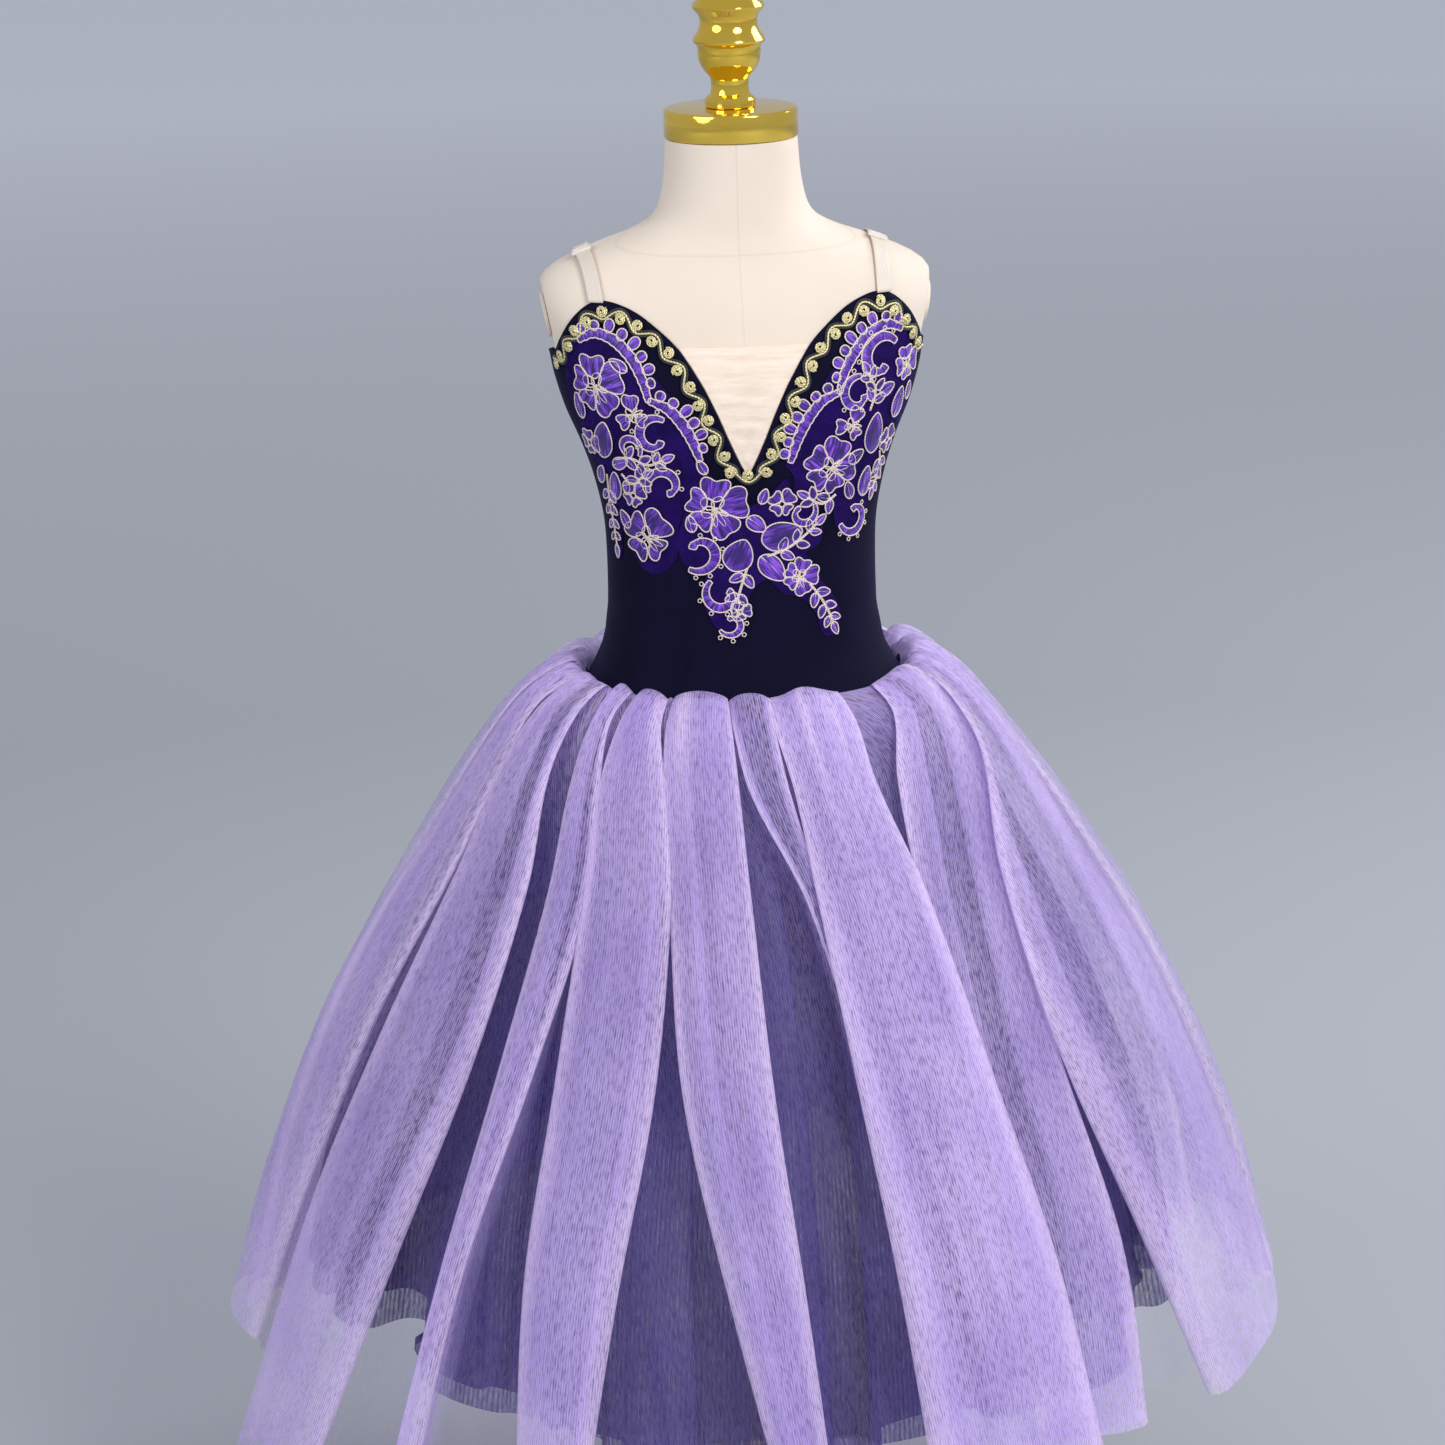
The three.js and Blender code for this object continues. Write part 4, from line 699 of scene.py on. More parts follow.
per_fold = STEPS["gap"] + 2 * one_side + STEPS["top"]
middle = np.arange(len(LILAC_FOLDS)) * per_fold + STEPS["gap"] + one_side + STEPS["top"] // 2
owners = np.append(owner, 0)
threads = np.stack([around - around[:, middle][:, owners] + owners * THREAD_SHIFT, down], -1) / 1000
skirt = cloth_grid("lilac_tulle", points, loop=True, uv=threads)
skirt.data.flip_normals()
near_edge = np.convolve(np.concatenate([edge[-2:], edge, edge[:2]]), [0.2, 0.6, 1, 0.6, 0.2], "valid")
near_edge = np.minimum(1, near_edge / 2)[None, :] * np.ones((LILAC_ROWS, 1))
# Painted highlight crests: soft lines near the waist that the fold mark paints paler, and that also cover more.
painted_highlight_crests = np.exp(-((fall - 0.04) ** 2) / 0.012) * np.clip(np.sin(62 * angle + 4 * np.sin(5 * angle)), 0, 1) ** 6
mark(skirt, "fold", np.maximum(near_edge, painted_highlight_crests))
on_top = 0.3 + 1.3 * (fall - 0.56) + 0.5 * (owner == DOUBLED_FOLD)
spare = np.where(top < 0, -0.79, np.where(top > 0, on_top, 0.0))
mark(skirt, "layers", np.exp(-down[:, :-1] / 50) * 2.0 + near_edge * 0.8 + spare + painted_highlight_crests * 0.6)
lilac.put_on(skirt, "tulle_lilac", "skirt_lilac")

# --- Bodice: a close sleeveless bodice of navy stretch velvet, front and back sewn together at the sides. The
# front is cut in a deep V between two pointed cups, the back straight across; the edges are turned in.
BODICE_OUT = 1.5  # outer face of the velvet, off the form
NECKLINE = [
    (0, 839.4), (3, 843), (6, 849), (12, 862.5), (19, 879.5), (27.5, 897.5), (36, 912), (44, 923.8), (55, 934.5),
    (68, 944.5), (80, 950), (90, 952), (99, 950), (107, 944), (113.5, 936), (119, 925), (123, 914), (150, 908),
]
BACK_TOP = [(0, 868), (30, 872), (60, 881), (84, 889), (104, 892), (118, 902), (123, 910), (150, 911)]
BODICE_HEM, CHEST = 664, 900.0


def cut_height(angle, edge):
    """Height of the bodice's upper edge at angles from the front: its cut, seen from the front, met on the form."""
    x, z = np.array(edge, float).T
    height = np.full(angle.shape, 890.0)
    for _ in range(160):  # small steps, so that it settles
        across = np.abs(on_body(angle, height, BODICE_OUT)[..., 0])
        height += 0.25 * (smooth_between(x, z, across) - height)
    return height


velvet = Finish("navy_velvet", Roughness=0.75, Sheen_Weight=0.10, Sheen_Roughness=0.35, Specular_IOR_Level=0.1)
velvet.skin.inputs["Sheen Tint"].default_value = (0.22, 0.17, 0.75, 1)
nap = velvet.noise(velvet.coords("Object", (1, 1, 0.5)), 26, 4, 0.6)
velvet.to_skin(velvet.ramp(nap, (0.3, (0.0017, 0.0014, 0.0120)), (0.72, (0.0042, 0.0033, 0.0235))), "Base Color")
pile = velvet.noise(velvet.coords("Object"), 2600, 2)
velvet.relief(pile, 0.25, 0.0004)

for name, node, start, edge, spread in (
    ("bodice_front_velvet", "bodice_front", -90, NECKLINE, 200),
    ("bodice_back_velvet", "bodice_back", 90, BACK_TOP, 120),
):
    angle = np.radians(np.linspace(start + 0.1, start + 179.9, spread))
    share = np.linspace(0, 1, 84)[:, None]
    z = BODICE_HEM + (cut_height(angle, edge) - BODICE_HEM)[None, :] * share
    pulled = 0.35 * np.sin((z - 700) / 5.2 + 2.5 * np.sin(3 * angle)) * np.exp(-(((z - 712) / 22) ** 2))
    pulled = pulled * (0.3 + 0.7 * np.abs(np.sin(angle)) ** 3)
    shell = cloth_grid(name, on_body(angle[None, :], z, BODICE_OUT + np.maximum(pulled, -0.15)))
    worked(shell, "SOLIDIFY", thickness=0.0012, offset=-1)
    velvet.put_on(shell, "bodice_velvet", node)
    widest = on_body(angle, CHEST, BODICE_OUT)
    across = round(float(np.linalg.norm(np.diff(widest, axis=0), axis=1).sum()) / 1000, 3)

# --- Neck insert: a strip of nude stretch mesh across the V, its top edge straight and turned in. It is eased
# on, so it lies in shallow cross folds, and it is caught in the neckline on both sides.
nude = Finish("nude_mesh", Roughness=0.7, Sheen_Weight=0.2)
tone = nude.noise(nude.coords("UV", (0.25, 1, 1)), 260, 2)
nude.to_skin(nude.ramp(tone, (0.3, (0.86, 0.70, 0.56)), (0.7, (0.95, 0.82, 0.69))), "Base Color")
loops = [nude.bands(nude.coords("UV"), along, 0.0009) for along in "XY"]
nude.relief(nude.math("ADD", *loops), 0.2, 0.0003)

INSERT_TOP = 923.5
rows, columns = 120, 56
z = np.linspace(841.4, INSERT_TOP, rows)[:, None]
x_edge, z_edge = np.array(NECKLINE[1:10], float).T
half_width = np.interp(z, z_edge, x_edge) - 0.7
share = np.linspace(-1, 1, columns)[None, :]
half_body = torso_at(z)[0]
angle = np.sign(share) * np.arcsin(np.clip(np.abs(half_width * share) / half_body, 0, 1) ** (ROUNDNESS / 2))
folded = (
    0.2 * np.sin(z / 1.55 + 0.9 * np.sin(z / 7) + 0.8 * share)
    + 0.15 * np.sin(z / 2.7 + 1.7 * np.sin(share * 1.4))
)
folded = folded * (1 - share**4) * np.clip((INSERT_TOP - z) / 6, 0, 1)
insert = cloth_grid("neck_insert_mesh", on_body(angle, z, 1.0 + folded))
worked(insert, "SOLIDIFY", thickness=0.0004, offset=-1)
nude.put_on(insert, "nude_mesh", "neck_insert")

# --- Shoulder straps: narrow ribbed elastic, clear-white, sewn inside the cup's peak and inside the top of the
# back. Each lies over the form's shoulder and runs through a slider there.
elastic = Finish("clear_elastic", Roughness=0.45, Sheen_Weight=0.1)
ribbing = elastic.bands(elastic.coords("UV"), "X", 0.0011)
# Painted shade: the colour follows the ribs' relief, darker in the troughs between them and lighter on their tops.
elastic.to_skin(elastic.ramp(ribbing, (0.2, (0.70, 0.60, 0.50)), (0.8, (0.84, 0.76, 0.67))), "Base Color")
elastic.relief(ribbing, 0.35, 0.0003)
STRAP = {"x": 94, "lean": {-1: 7.5, 1: 0}, "width": 9.6, "wall": 0.9, "seat": 0.6, "front": 950.6, "back": 891}
EDGE_RIB = 0.12  # how far the ribs at both edges stand up
FROM_SHOULDER = slice(910, None)  # the rows of the fine torso table above the shoulder's widest point


def over_shoulder(x, along, out):
    """A point of the strap: along is -1 at its front end, 0 on the shoulder's ridge and 1 at its back end."""
    x, along = np.broadcast_arrays(np.asarray(x, float), np.asarray(along, float))
    ridge = np.interp(x, FINE_TORSO[FROM_SHOULDER, 0][::-1], FINE_Z[FROM_SHOULDER][::-1])
    low = np.where(along < 0, STRAP["front"], STRAP["back"])
    z = low + (ridge - low) * (1 - along**2)
    half, front, back = torso_at(z)
    share = np.maximum(0, 1 - (x / half) ** ROUNDNESS) ** (1 / ROUNDNESS)
    surface = np.stack([x, np.where(along < 0, -share * front, share * back), z], -1)
    return surface + outward(surface) * out


for side, word in ((-1, "left"), (1, "right")):
    along = np.linspace(-1, 1, 61)[:, None]
    share = np.linspace(-0.5, 0.5, 9)[None, :]
    across = STRAP["x"] + STRAP["lean"][side] * (1 - np.abs(along)) + share * STRAP["width"]
    edge_ribs = EDGE_RIB * (np.abs(share) > 0.35)[..., None]
    face = over_shoulder(across, along, STRAP["seat"] + STRAP["wall"] - EDGE_RIB)
    face = face + outward(over_shoulder(across, along, 0)) * edge_ribs
    if side < 0:
        face = face[:, ::-1] * (-1, 1, 1)
    strap = cloth_grid("strap_elastic_" + word, face[::-1])
    worked(strap, "SOLIDIFY", thickness=0.0008, offset=-1)
    elastic.put_on(strap, "elastic", "strap_" + word)

# --- Strap sliders: small clear-white plastic plates with two slots, moulded with rounded corners. The strap's
# loop is threaded through the slots, so the slider moves along it.
plastic = Finish("clear_plastic", Roughness=0.25, Coat_Weight=0.3)
clouds = plastic.noise(plastic.coords("Object"), 60)
plastic.to_skin(plastic.ramp(clouds, (0.3, (0.80, 0.73, 0.65)), (0.7, (0.87, 0.81, 0.74))), "Base Color")
SLIDER = {"size": (0.0135, 0.009, 0.0018), "slot": (0.0106, 0.0024, 0.01), "slot_off": 0.0021, "at": -0.12}


def moulded_block(name, size, place=(0, 0, 0)):
    bpy.ops.object.select_all(action="DESELECT")
    bpy.ops.mesh.primitive_cube_add(size=1, location=place)
    made = bpy.context.object
    made.name = name
    made.dimensions = size
    bpy.ops.object.transform_apply(location=True, rotation=True, scale=True)
    return made


for side, word in ((-1, "left"), (1, "right")):
    x = STRAP["x"] + STRAP["lean"][side] * (1 + SLIDER["at"])
    seat = over_shoulder(x, SLIDER["at"], STRAP["seat"] + STRAP["wall"] + 0.6)
    up = Vector(outward(over_shoulder(x, SLIDER["at"], 0)))
    run = Vector(over_shoulder(x, SLIDER["at"] + 0.1, 0) - over_shoulder(x, SLIDER["at"] - 0.1, 0))
    beside = run.cross(up).normalized()
    ahead = up.cross(beside)
    plate = moulded_block("slider_plate_" + word, SLIDER["size"])
    for end in (-1, 1):
        slot = moulded_block("slot", SLIDER["slot"], (0, end * SLIDER["slot_off"], 0))
        worked(plate, "BOOLEAN", operation="DIFFERENCE", object=slot)
        bpy.data.objects.remove(slot)
    worked(plate, "BEVEL", width=0.00045, segments=2)
    for corner in plate.data.vertices:
        height = corner.co.z + SLIDER["size"][2] / 2
        spot = Vector(seat) / 1000 + beside * corner.co.x + ahead * corner.co.y + up * height
        corner.co = (side * spot.x, spot.y, spot.z)
    face_outwards(plate)
    bpy.ops.object.shade_smooth_by_angle(angle=math.radians(35))
    plastic.put_on(plate, "slider_plastic", "slider_" + word)

# --- Neckline braid: gold and black cord couched in one wave along the neckline, with a coil of gold cord in
# each bend. It is sewn on the velvet 8 mm inside the edge.
LACE_OUT = 2.1
MAP_Z, MAP_ANGLE, MAP_GIRTH = np.arange(690, 962, 2.0), np.radians(np.arange(0, 121, 1.0)), np.arange(0, 171, 1.0)
MAP_STEP = MAP_Z[1] - MAP_Z[0]
GIRTH_AT = measured(on_body(MAP_ANGLE[None, :], MAP_Z[:, None], LACE_OUT), 1)
ANGLE_AT = np.array([np.interp(MAP_GIRTH, girths, MAP_ANGLE) for girths in GIRTH_AT])


def laid(flat, out):
    """Lays flat points on the bodice's front: x is the way round it from the centre line, y is the height."""
    flat = np.asarray(flat, float)
    girth, z = np.abs(flat[..., 0]), flat[..., 1]
    i, k = (z - MAP_Z[0]) / MAP_STEP, girth
    i0, k0 = np.clip(i.astype(int), 0, len(MAP_Z) - 2), np.clip(k.astype(int), 0, len(MAP_GIRTH) - 2)
    di, dk = i - i0, k - k0
    angle = (
        ANGLE_AT[i0, k0] * (1 - di) * (1 - dk) + ANGLE_AT[i0 + 1, k0] * di * (1 - dk)
        + ANGLE_AT[i0, k0 + 1] * (1 - di) * dk + ANGLE_AT[i0 + 1, k0 + 1] * di * dk
    )
    return on_body(np.sign(flat[..., 0]) * angle, z, out)


def evenly(line, step, ring=False):
    """The same line as a smooth curve, with points a step apart."""
    line = np.asarray(line, float)
    if ring:
        line = np.concatenate([line, line[:1]])
    far = np.concatenate([[0], np.cumsum(np.linalg.norm(np.diff(line, axis=0), axis=1))])
    count = max(4, int(round(far[-1] / step)))
    at = np.linspace(0, far[-1], count + 1)
    if ring:
        around = np.concatenate([line[-3:-1], line, line[1:3]])
        far = np.concatenate([[0], np.cumsum(np.linalg.norm(np.diff(around, axis=0), axis=1))])
        return smooth_between(far, around, at[:-1] + far[2])
    return smooth_between(far, line, at)


def beside_line(line, distance):
    """A line to the left of another, at a distance."""
    run = np.gradient(line, axis=0)
    run /= np.linalg.norm(run, axis=1, keepdims=True)
    return line + np.stack([-run[:, 1], run[:, 0]], 1) * distance


def tube(name, paths, sides=6):
    """Cords in one mesh, each a dict of points and outward normals in mm, radius and whether it is a ring."""
    corners, faces, uv = [], [], []
    start = 0
    turn = full_turn(sides)
    for path in paths:
        points, normals, ring = path["points"], path["normals"], path.get("ring", False)
        count = len(points)
        run = np.roll(points, -1, 0) - np.roll(points, 1, 0) if ring else np.gradient(points, axis=0)
        run = run / np.maximum(np.linalg.norm(run, axis=1, keepdims=True), 1e-9)
        beside = np.cross(run, normals)
        beside = beside / np.maximum(np.linalg.norm(beside, axis=1, keepdims=True), 1e-9)
        above = np.cross(beside, run)
        radius = np.broadcast_to(path["radius"], (count,))[:, None, None]
        round_it = above[:, None] * np.cos(turn)[None, :, None] + beside[:, None] * np.sin(turn)[None, :, None]
        corners.append((points[:, None] + round_it * radius).reshape(-1, 3))
        spans = count if ring else count - 1
        i, k = (g.ravel() for g in np.meshgrid(np.arange(spans), np.arange(sides), indexing="ij"))
        j, m = (i + 1) % count, (k + 1) % sides
        quads = np.stack([i * sides + k, i * sides + m, j * sides + m, j * sides + k], 1)
        faces += (start + quads).tolist()
        far = np.concatenate([[0], np.cumsum(np.linalg.norm(np.roll(points, -1, 0) - points, axis=1))]) / 1000
        sheet = [np.stack([far[i + di], (k + dk) / sides], 1) for di, dk in ((0, 0), (0, 1), (1, 1), (1, 0))]
        uv.append(np.stack(sheet, 1).reshape(-1, 2))
        if not ring:
            faces.append([start + q for q in reversed(range(sides))])
            faces.append([start + (count - 1) * sides + q for q in range(sides)])
            uv.append(np.zeros((2 * sides, 2)))
        start += count * sides
    piece = smooth_piece(name, np.concatenate(corners), faces, np.concatenate(uv))
    face_outwards(piece)
    return piece


def laid_cord(flat, radius, lift, ring=False):
    """A cord on the bodice, for tube, from flat points."""
    points = laid(flat, LACE_OUT + lift)
    return {"points": points, "normals": outward(points), "radius": radius, "ring": ring}


def along_neckline(distance):
    """Line a distance inside the neckline, over both cups, in flat points."""
    x = np.linspace(3, 122.5, 160)
    z = smooth_between([row[0] for row in NECKLINE], [row[1] for row in NECKLINE], x)
    angle = np.arcsin(np.clip(x / (torso_at(z)[0] + BODICE_OUT), 0, 1) ** (ROUNDNESS / 2))
    girth = np.array([np.interp(a, MAP_ANGLE, GIRTH_AT[int((h - MAP_Z[0]) / MAP_STEP)]) for a, h in zip(angle, z)])
    half = beside_line(evenly(np.stack([girth, z], 1), 2), -distance)
    half = half[half[:, 0] > 1]
    return evenly(np.concatenate([half[::-1] * (-1, 1), half]), 1)


def twisted(name, pitch, dark, light_from, light, strength, **sockets):
    """The material of a cord twisted from threads, with its pitch in metres. Its colour is painted shade in the
    grooves of the twist and painted highlight on its ridges.
    """
    cord = Finish(name, **sockets)
    twist = cord.bands(cord.coords("UV", (1, pitch, 1)), "DIAGONAL", pitch)
    # Painted shade and highlight: darker in the grooves of the twist, lighter on its ridges, following the relief.
    cord.to_skin(cord.ramp(twist, (0.1, dark), (light_from, light)), "Base Color")
    cord.relief(twist, strength, 0.0003)
    return cord


brass_thread = twisted(
    "brass_thread", 0.0011, (0.50, 0.42, 0.18), 0.7, (0.90, 0.83, 0.50), 0.6, Metallic=0.55, Roughness=0.36
)
black_cord = twisted(
    "black_cord", 0.0011, (0.004, 0.004, 0.005), 0.8, (0.02, 0.018, 0.024), 0.5, Roughness=0.6, Sheen_Weight=0.3
)

BRAID = {"inset": 7.6, "wave": 24.8, "swing": 3.7, "gold": 0.8, "black": 0.65, "apart": 1.5}
COIL = {"start": 0.75, "end": 3.6, "turns": 2.6, "cord": 0.72, "points": 30}
line = along_neckline(BRAID["inset"])
bends = 2 * round(len(line) / BRAID["wave"])
fine = evenly(line, 0.8)
swing = BRAID["swing"] * np.cos(np.arange(len(fine)) / len(fine) * bends * math.pi)
waved = beside_line(fine, swing[:, None])
gold_cords = [laid_cord(waved, BRAID["gold"], 0.9)]
black_cords = [laid_cord(beside_line(waved, side * BRAID["apart"]), BRAID["black"], 0.6) for side in (1, -1)]
for i in range(bends):
    k = int(i / bends * len(fine))
    at = fine[k] if i else fine[2]
    run = fine[min(k + 3, len(fine) - 1)] - at
    run = run / np.linalg.norm(run)
    middle = at + np.array([-run[1], run[0]]) * (-1.0 if i % 2 == 0 else 1.0)
    spin = np.linspace(0, COIL["turns"] * 2 * math.pi, COIL["points"]) + i * 1.9
    grown = np.linspace(COIL["start"], COIL["end"], COIL["points"])
    coil = middle + np.stack([np.cos(spin), np.sin(spin)], 1) * grown[:, None]
    gold_cords.append(laid_cord(coil, COIL["cord"], np.linspace(1.9, 1.0, COIL["points"])))
brass_thread.put_on(tube("neckline_braid_gold", gold_cords), "braid_gold", "neckline_braid")
black_cord.put_on(tube("neckline_braid_black", black_cords), "braid_gold")

# --- Corded lace: three pieces of dark violet net, cut out round their motifs and sewn on the velvet. Petals,
# leaves and scrolls are filled in violet satin stitch and outlined with a couched champagne cord. The layout
# is a common one of flowers, sprigs and scrolls, drawn for this dress.
LACE_NET = {
    "left": [
        (-33, 838), (-40, 822), (-46, 806), (-49, 782), (-60, 771), (-75, 773), (-86, 788), (-92, 797), (-96, 777),
        (-104, 776), (-107, 800), (-112, 828), (-120, 856), (-129, 884), (-131, 902), (-125, 918), (-114, 930),
        (-100, 936), (-86, 933), (-73, 922), (-60, 906), (-46, 888), (-34, 868), (-28, 850),
    ],
    "centre": [
        (-33, 850), (-18, 833), (0, 819), (12, 824), (26, 836), (29, 821), (44, 813), (51, 801), (48, 789),
        (38, 783), (45, 775), (49, 764), (58, 752), (64, 738), (59, 725), (50, 726), (44, 742), (34, 753),
        (22, 757), (12, 767), (3, 762), (-3, 748), (-5, 731), (-14, 728), (-26, 740), (-32, 758), (-29, 774),
        (-42, 777), (-47.5, 792), (-44.5, 808), (-40.5, 822), (-37, 838),
    ],
    "right": [
        (25, 845), (33, 866), (45, 887), (58, 906), (71, 920), (84, 932), (98, 935), (112, 928), (124, 914),
        (131, 899), (130, 880), (121, 862), (113, 846), (103, 842), (97, 826), (90, 806), (83, 792), (72, 788),
        (62, 797), (57, 813), (44, 815), (31, 820), (30, 838),
    ],
}
LACE_FLOWERS = {  # middle, size, turn in degrees, petals
    "left": [(-103, 898, 22, 20, 5), (-76, 880, 13, 95, 3), (-70, 795, 20, 50, 4), (-79, 824, 10, 30, 4),
             (-116, 857, 10.5, 0, 4)],
    "centre": [(-23, 818, 22.5, 12, 5), (33, 768, 13.5, 0, 5), (22, 819, 10, 45, 4), (-7, 746, 7.5, 10, 4)],
    "right": [(56, 840, 20.5, 70, 5), (71, 868, 12.5, 60, 3), (118, 903, 13, 10, 4), (107, 852, 10.5, 50, 4)],
}
LACE_LEAVES = {  # middle, length, turn, half width as a share of the length, dark heart
    "left": [(-101, 861, 26, 78, 0.31, 1), (-119, 883, 18, 100, 0.26, 0), (-95, 829, 20, 86, 0.28, 0),
             (-110, 835, 15, 60, 0.3, 0), (-88, 846, 14, 20, 0.3, 0), (-88, 806, 14, 120, 0.3, 0),
             (-103, 812, 12, 95, 0.3, 0), (-84, 912, 14, 150, 0.26, 0)],
    "centre": [(-7, 785, 23, 66, 0.42, 1), (22, 797, 28, 12, 0.34, 1), (15, 775, 23, -48, 0.31, 0),
               (5, 806, 15, -40, 0.34, 0), (-38, 807, 12, 100, 0.3, 0), (10, 825, 11, 70, 0.3, 0),
               (-30, 846, 11, 120, 0.28, 0)],
    "right": [(91, 860, 28, 84, 0.28, 1), (113, 878, 21, 74, 0.28, 0), (86, 827, 21, 78, 0.29, 0),
              (125, 884, 13, 88, 0.28, 0), (76, 846, 14, 30, 0.3, 0), (71, 823, 13, 110, 0.3, 0),
              (100, 889, 14, 20, 0.3, 0), (101, 832, 14, 80, 0.3, 0)],
}
LACE_SCROLLS = {  # middle, radius, turn, way round, picots
    "left": [(-61, 866, 13, 60, 1, 5), (-55, 832, 12.5, 200, -1, 5), (-80, 857, 9, 330, 1, 0)],
    "centre": [(-33, 787, 13.5, 240, 1, 6), (-18, 758, 12, 130, 1, 5), (-13, 738, 8.5, 210, 1, 5),
               (36, 812, 9.5, 30, -1, 0)],
    "right": [(94, 909, 15.5, 40, 1, 7), (76, 888, 12, 80, 1, 4), (76, 804, 12.5, 200, 1, 6)],
}
LACE_SPRIGS = {  # a stem, from its root to its tip, and its pairs of leaves
    "left": [([(-92, 848), (-80, 850), (-66, 846), (-56, 850)], 3), ([(-103, 836), (-104, 815), (-100, 785)], 4),
             ([(-88, 838), (-80, 832), (-70, 838)], 2)],
    "centre": [([(12, 783), (26, 788), (38, 796), (46, 803)], 3), ([(40, 762), (48, 751), (54, 740), (57, 733)], 3),
               ([(-2, 776), (-6, 764), (-9, 754)], 2)],
    "right": [([(86, 876), (90, 889), (84, 901)], 3), ([(99, 846), (101, 836), (96, 820)], 3),
              ([(60, 822), (50, 817), (40, 822)], 2)],
}
LACE_BORDERS = {  # a scalloped border, and the side its fingers stand on
    "left": [([(-112, 927), (-99, 932), (-86, 928), (-74, 916), (-67, 901), (-64, 889)], 1),
             ([(-64, 890), (-52, 885), (-43, 876), (-36, 864), (-31, 850)], 1)],
    "centre": [],
    "right": [([(111, 927), (98, 931), (86, 927), (75, 917), (66, 903), (62, 890)], -1),
              ([(62, 891), (50, 886), (40, 875), (33, 862), (28, 847)], -1)],
}

satin = Finish("violet_satin_stitch", Roughness=0.38, Sheen_Weight=0.06)
stitches = satin.noise(satin.coords("UV", (1, 0.09, 1)), 700, 2, 0.65)
painted_sheen_streaks = satin.noise(satin.coords("UV", (1, 0.25, 1)), 190, 2)
# Partly painted light: the ramp's middle is the satin's own violet. The stitch noise, which also gives the relief,
# paints shade between the threads and a highlight on them.
tone = satin.ramp(
    satin.math("ADD", satin.math("MULTIPLY", stitches, 0.65), satin.math("MULTIPLY", painted_sheen_streaks, 0.35)),
    (0.42, (0.020, 0.004, 0.12)), (0.5, (0.088, 0.019, 0.36)), (0.58, (0.26, 0.085, 0.70)),
)
in_heart = satin.math("MULTIPLY", satin.attribute("heart"), 0.85)
satin.to_skin(satin.mix(in_heart, tone, (0.028, 0.006, 0.14)), "Base Color")
satin.relief(stitches, 0.8, 0.0006)

champagne = twisted(
    "champagne_cord", 0.0009, (0.58, 0.45, 0.38), 0.65, (0.97, 0.87, 0.78), 0.5, Roughness=0.42, Metallic=0.15
)

net = Finish("violet_net", Roughness=0.7, Specular_IOR_Level=0.1)
threads = net.coords("UV")
holes = net.math("MULTIPLY", net.bands(threads, "X", 0.0008), net.bands(threads, "Y", 0.0008))
clouds = net.noise(threads, 60, 3)
net.to_skin(net.ramp(clouds, (0.3, (0.010, 0.002, 0.068)), (0.7, (0.023, 0.004, 0.14))), "Base Color")
net.to_skin(net.math("SUBTRACT", 0.96, net.math("MULTIPLY", holes, 0.7)), "Alpha")
net.relief(holes, 0.4, 0.0003)

EDGE_LIFT, OUTLINE_CORD, LOOP_CORD, FINE_CORD, CORD_LIFT = 0.45, 0.52, 0.5, 0.42, 1.0
stitched = {"flat": [], "lift": [], "uv": [], "heart": [], "faces": []}
couched = []  # lines, whether each is a ring, and its cord's radius


def heading(run):
    """The turn of a direction, in degrees."""
    return math.degrees(math.atan2(run[1], run[0]))


def circle(count, size, middle):
    turn = full_turn(count)
    return np.stack([np.cos(turn), np.sin(turn)], 1) * size + middle


def stitch(flat, uv, lift, heart):
    """Notes down one line of points of the satin stitch."""
    stitched["flat"] += flat.tolist()
    stitched["uv"] += uv.tolist()
    stitched["lift"] += [lift] * len(flat)
    stitched["heart"] += [heart] * len(flat)


def set_down(points, middle, turn):
    """Flat points of a motif, turned by degrees and moved to its place."""
    c, s = math.cos(math.radians(turn)), math.sin(math.radians(turn))
    return np.asarray(points, float) @ np.array([[c, s], [-s, c]]) + middle


def stitch_domed(outline, heart_at, middle, turn, dark=0.0):
    """A filled petal or leaf: rings from its outline up to its heart, stitched along its length."""
    outline, heart_at = np.asarray(outline, float), np.asarray(heart_at, float)
    count = len(outline)
    start = len(stitched["flat"])
    for scale, lift, heart in ((1, EDGE_LIFT, 0), (0.8, 1.15, 0.1 * dark), (0.45, 1.4, dark), (0, 1.3, dark)):
        ring = heart_at + (outline - heart_at) * scale if scale else heart_at[None, :]
        stitch(set_down(ring, middle, turn), ring[:, ::-1] / 1000 + np.array(middle) / 700, lift, heart)
    for level in (start, start + count, start + 2 * count):
        for i in range(count):
            a, b = level + i, level + (i + 1) % count
            at_heart = level == start + 2 * count
            stitched["faces"].append((a, b, start + 3 * count) if at_heart else (a, b, b + count, a + count))
    couched.append((set_down(outline, middle, turn), True, OUTLINE_CORD))


def stitch_band(line, half, top=1.35):
    """A filled band along a line, half its width given at every point, stitched across."""
    start, count = len(stitched["flat"]), len(line)
    far = np.concatenate([[0], np.cumsum(np.linalg.norm(np.diff(line, axis=0), axis=1))])
    for across, lift in ((-1, EDGE_LIFT), (-0.6, top * 0.85), (0, top), (0.6, top * 0.85), (1, EDGE_LIFT)):
        edge = beside_line(line, across * half[:, None])
        stitch(edge, np.stack([far / 1000 + line[0, 0] / 700, across * half / 1000], 1), lift, 0.0)
    for k in range(4):
        for i in range(count - 1):
            a = start + k * count + i
            stitched["faces"].append((a, a + 1, a + 1 + count, a + count))
    rim = np.concatenate([beside_line(line, half[:, None]), beside_line(line, -half[:, None])[::-1]])
    couched.append((rim, True, OUTLINE_CORD))


FLOWER_LOOPS = [  # at the heart of a large flower: length and half width as shares of its size, turn
    (0.42, 0.17, 40), (0.44, 0.17, 130), (0.40, 0.17, 205), (0.6, 0.07, 265), (0.66, 0.07, 290), (0.5, 0.07, 320),
]


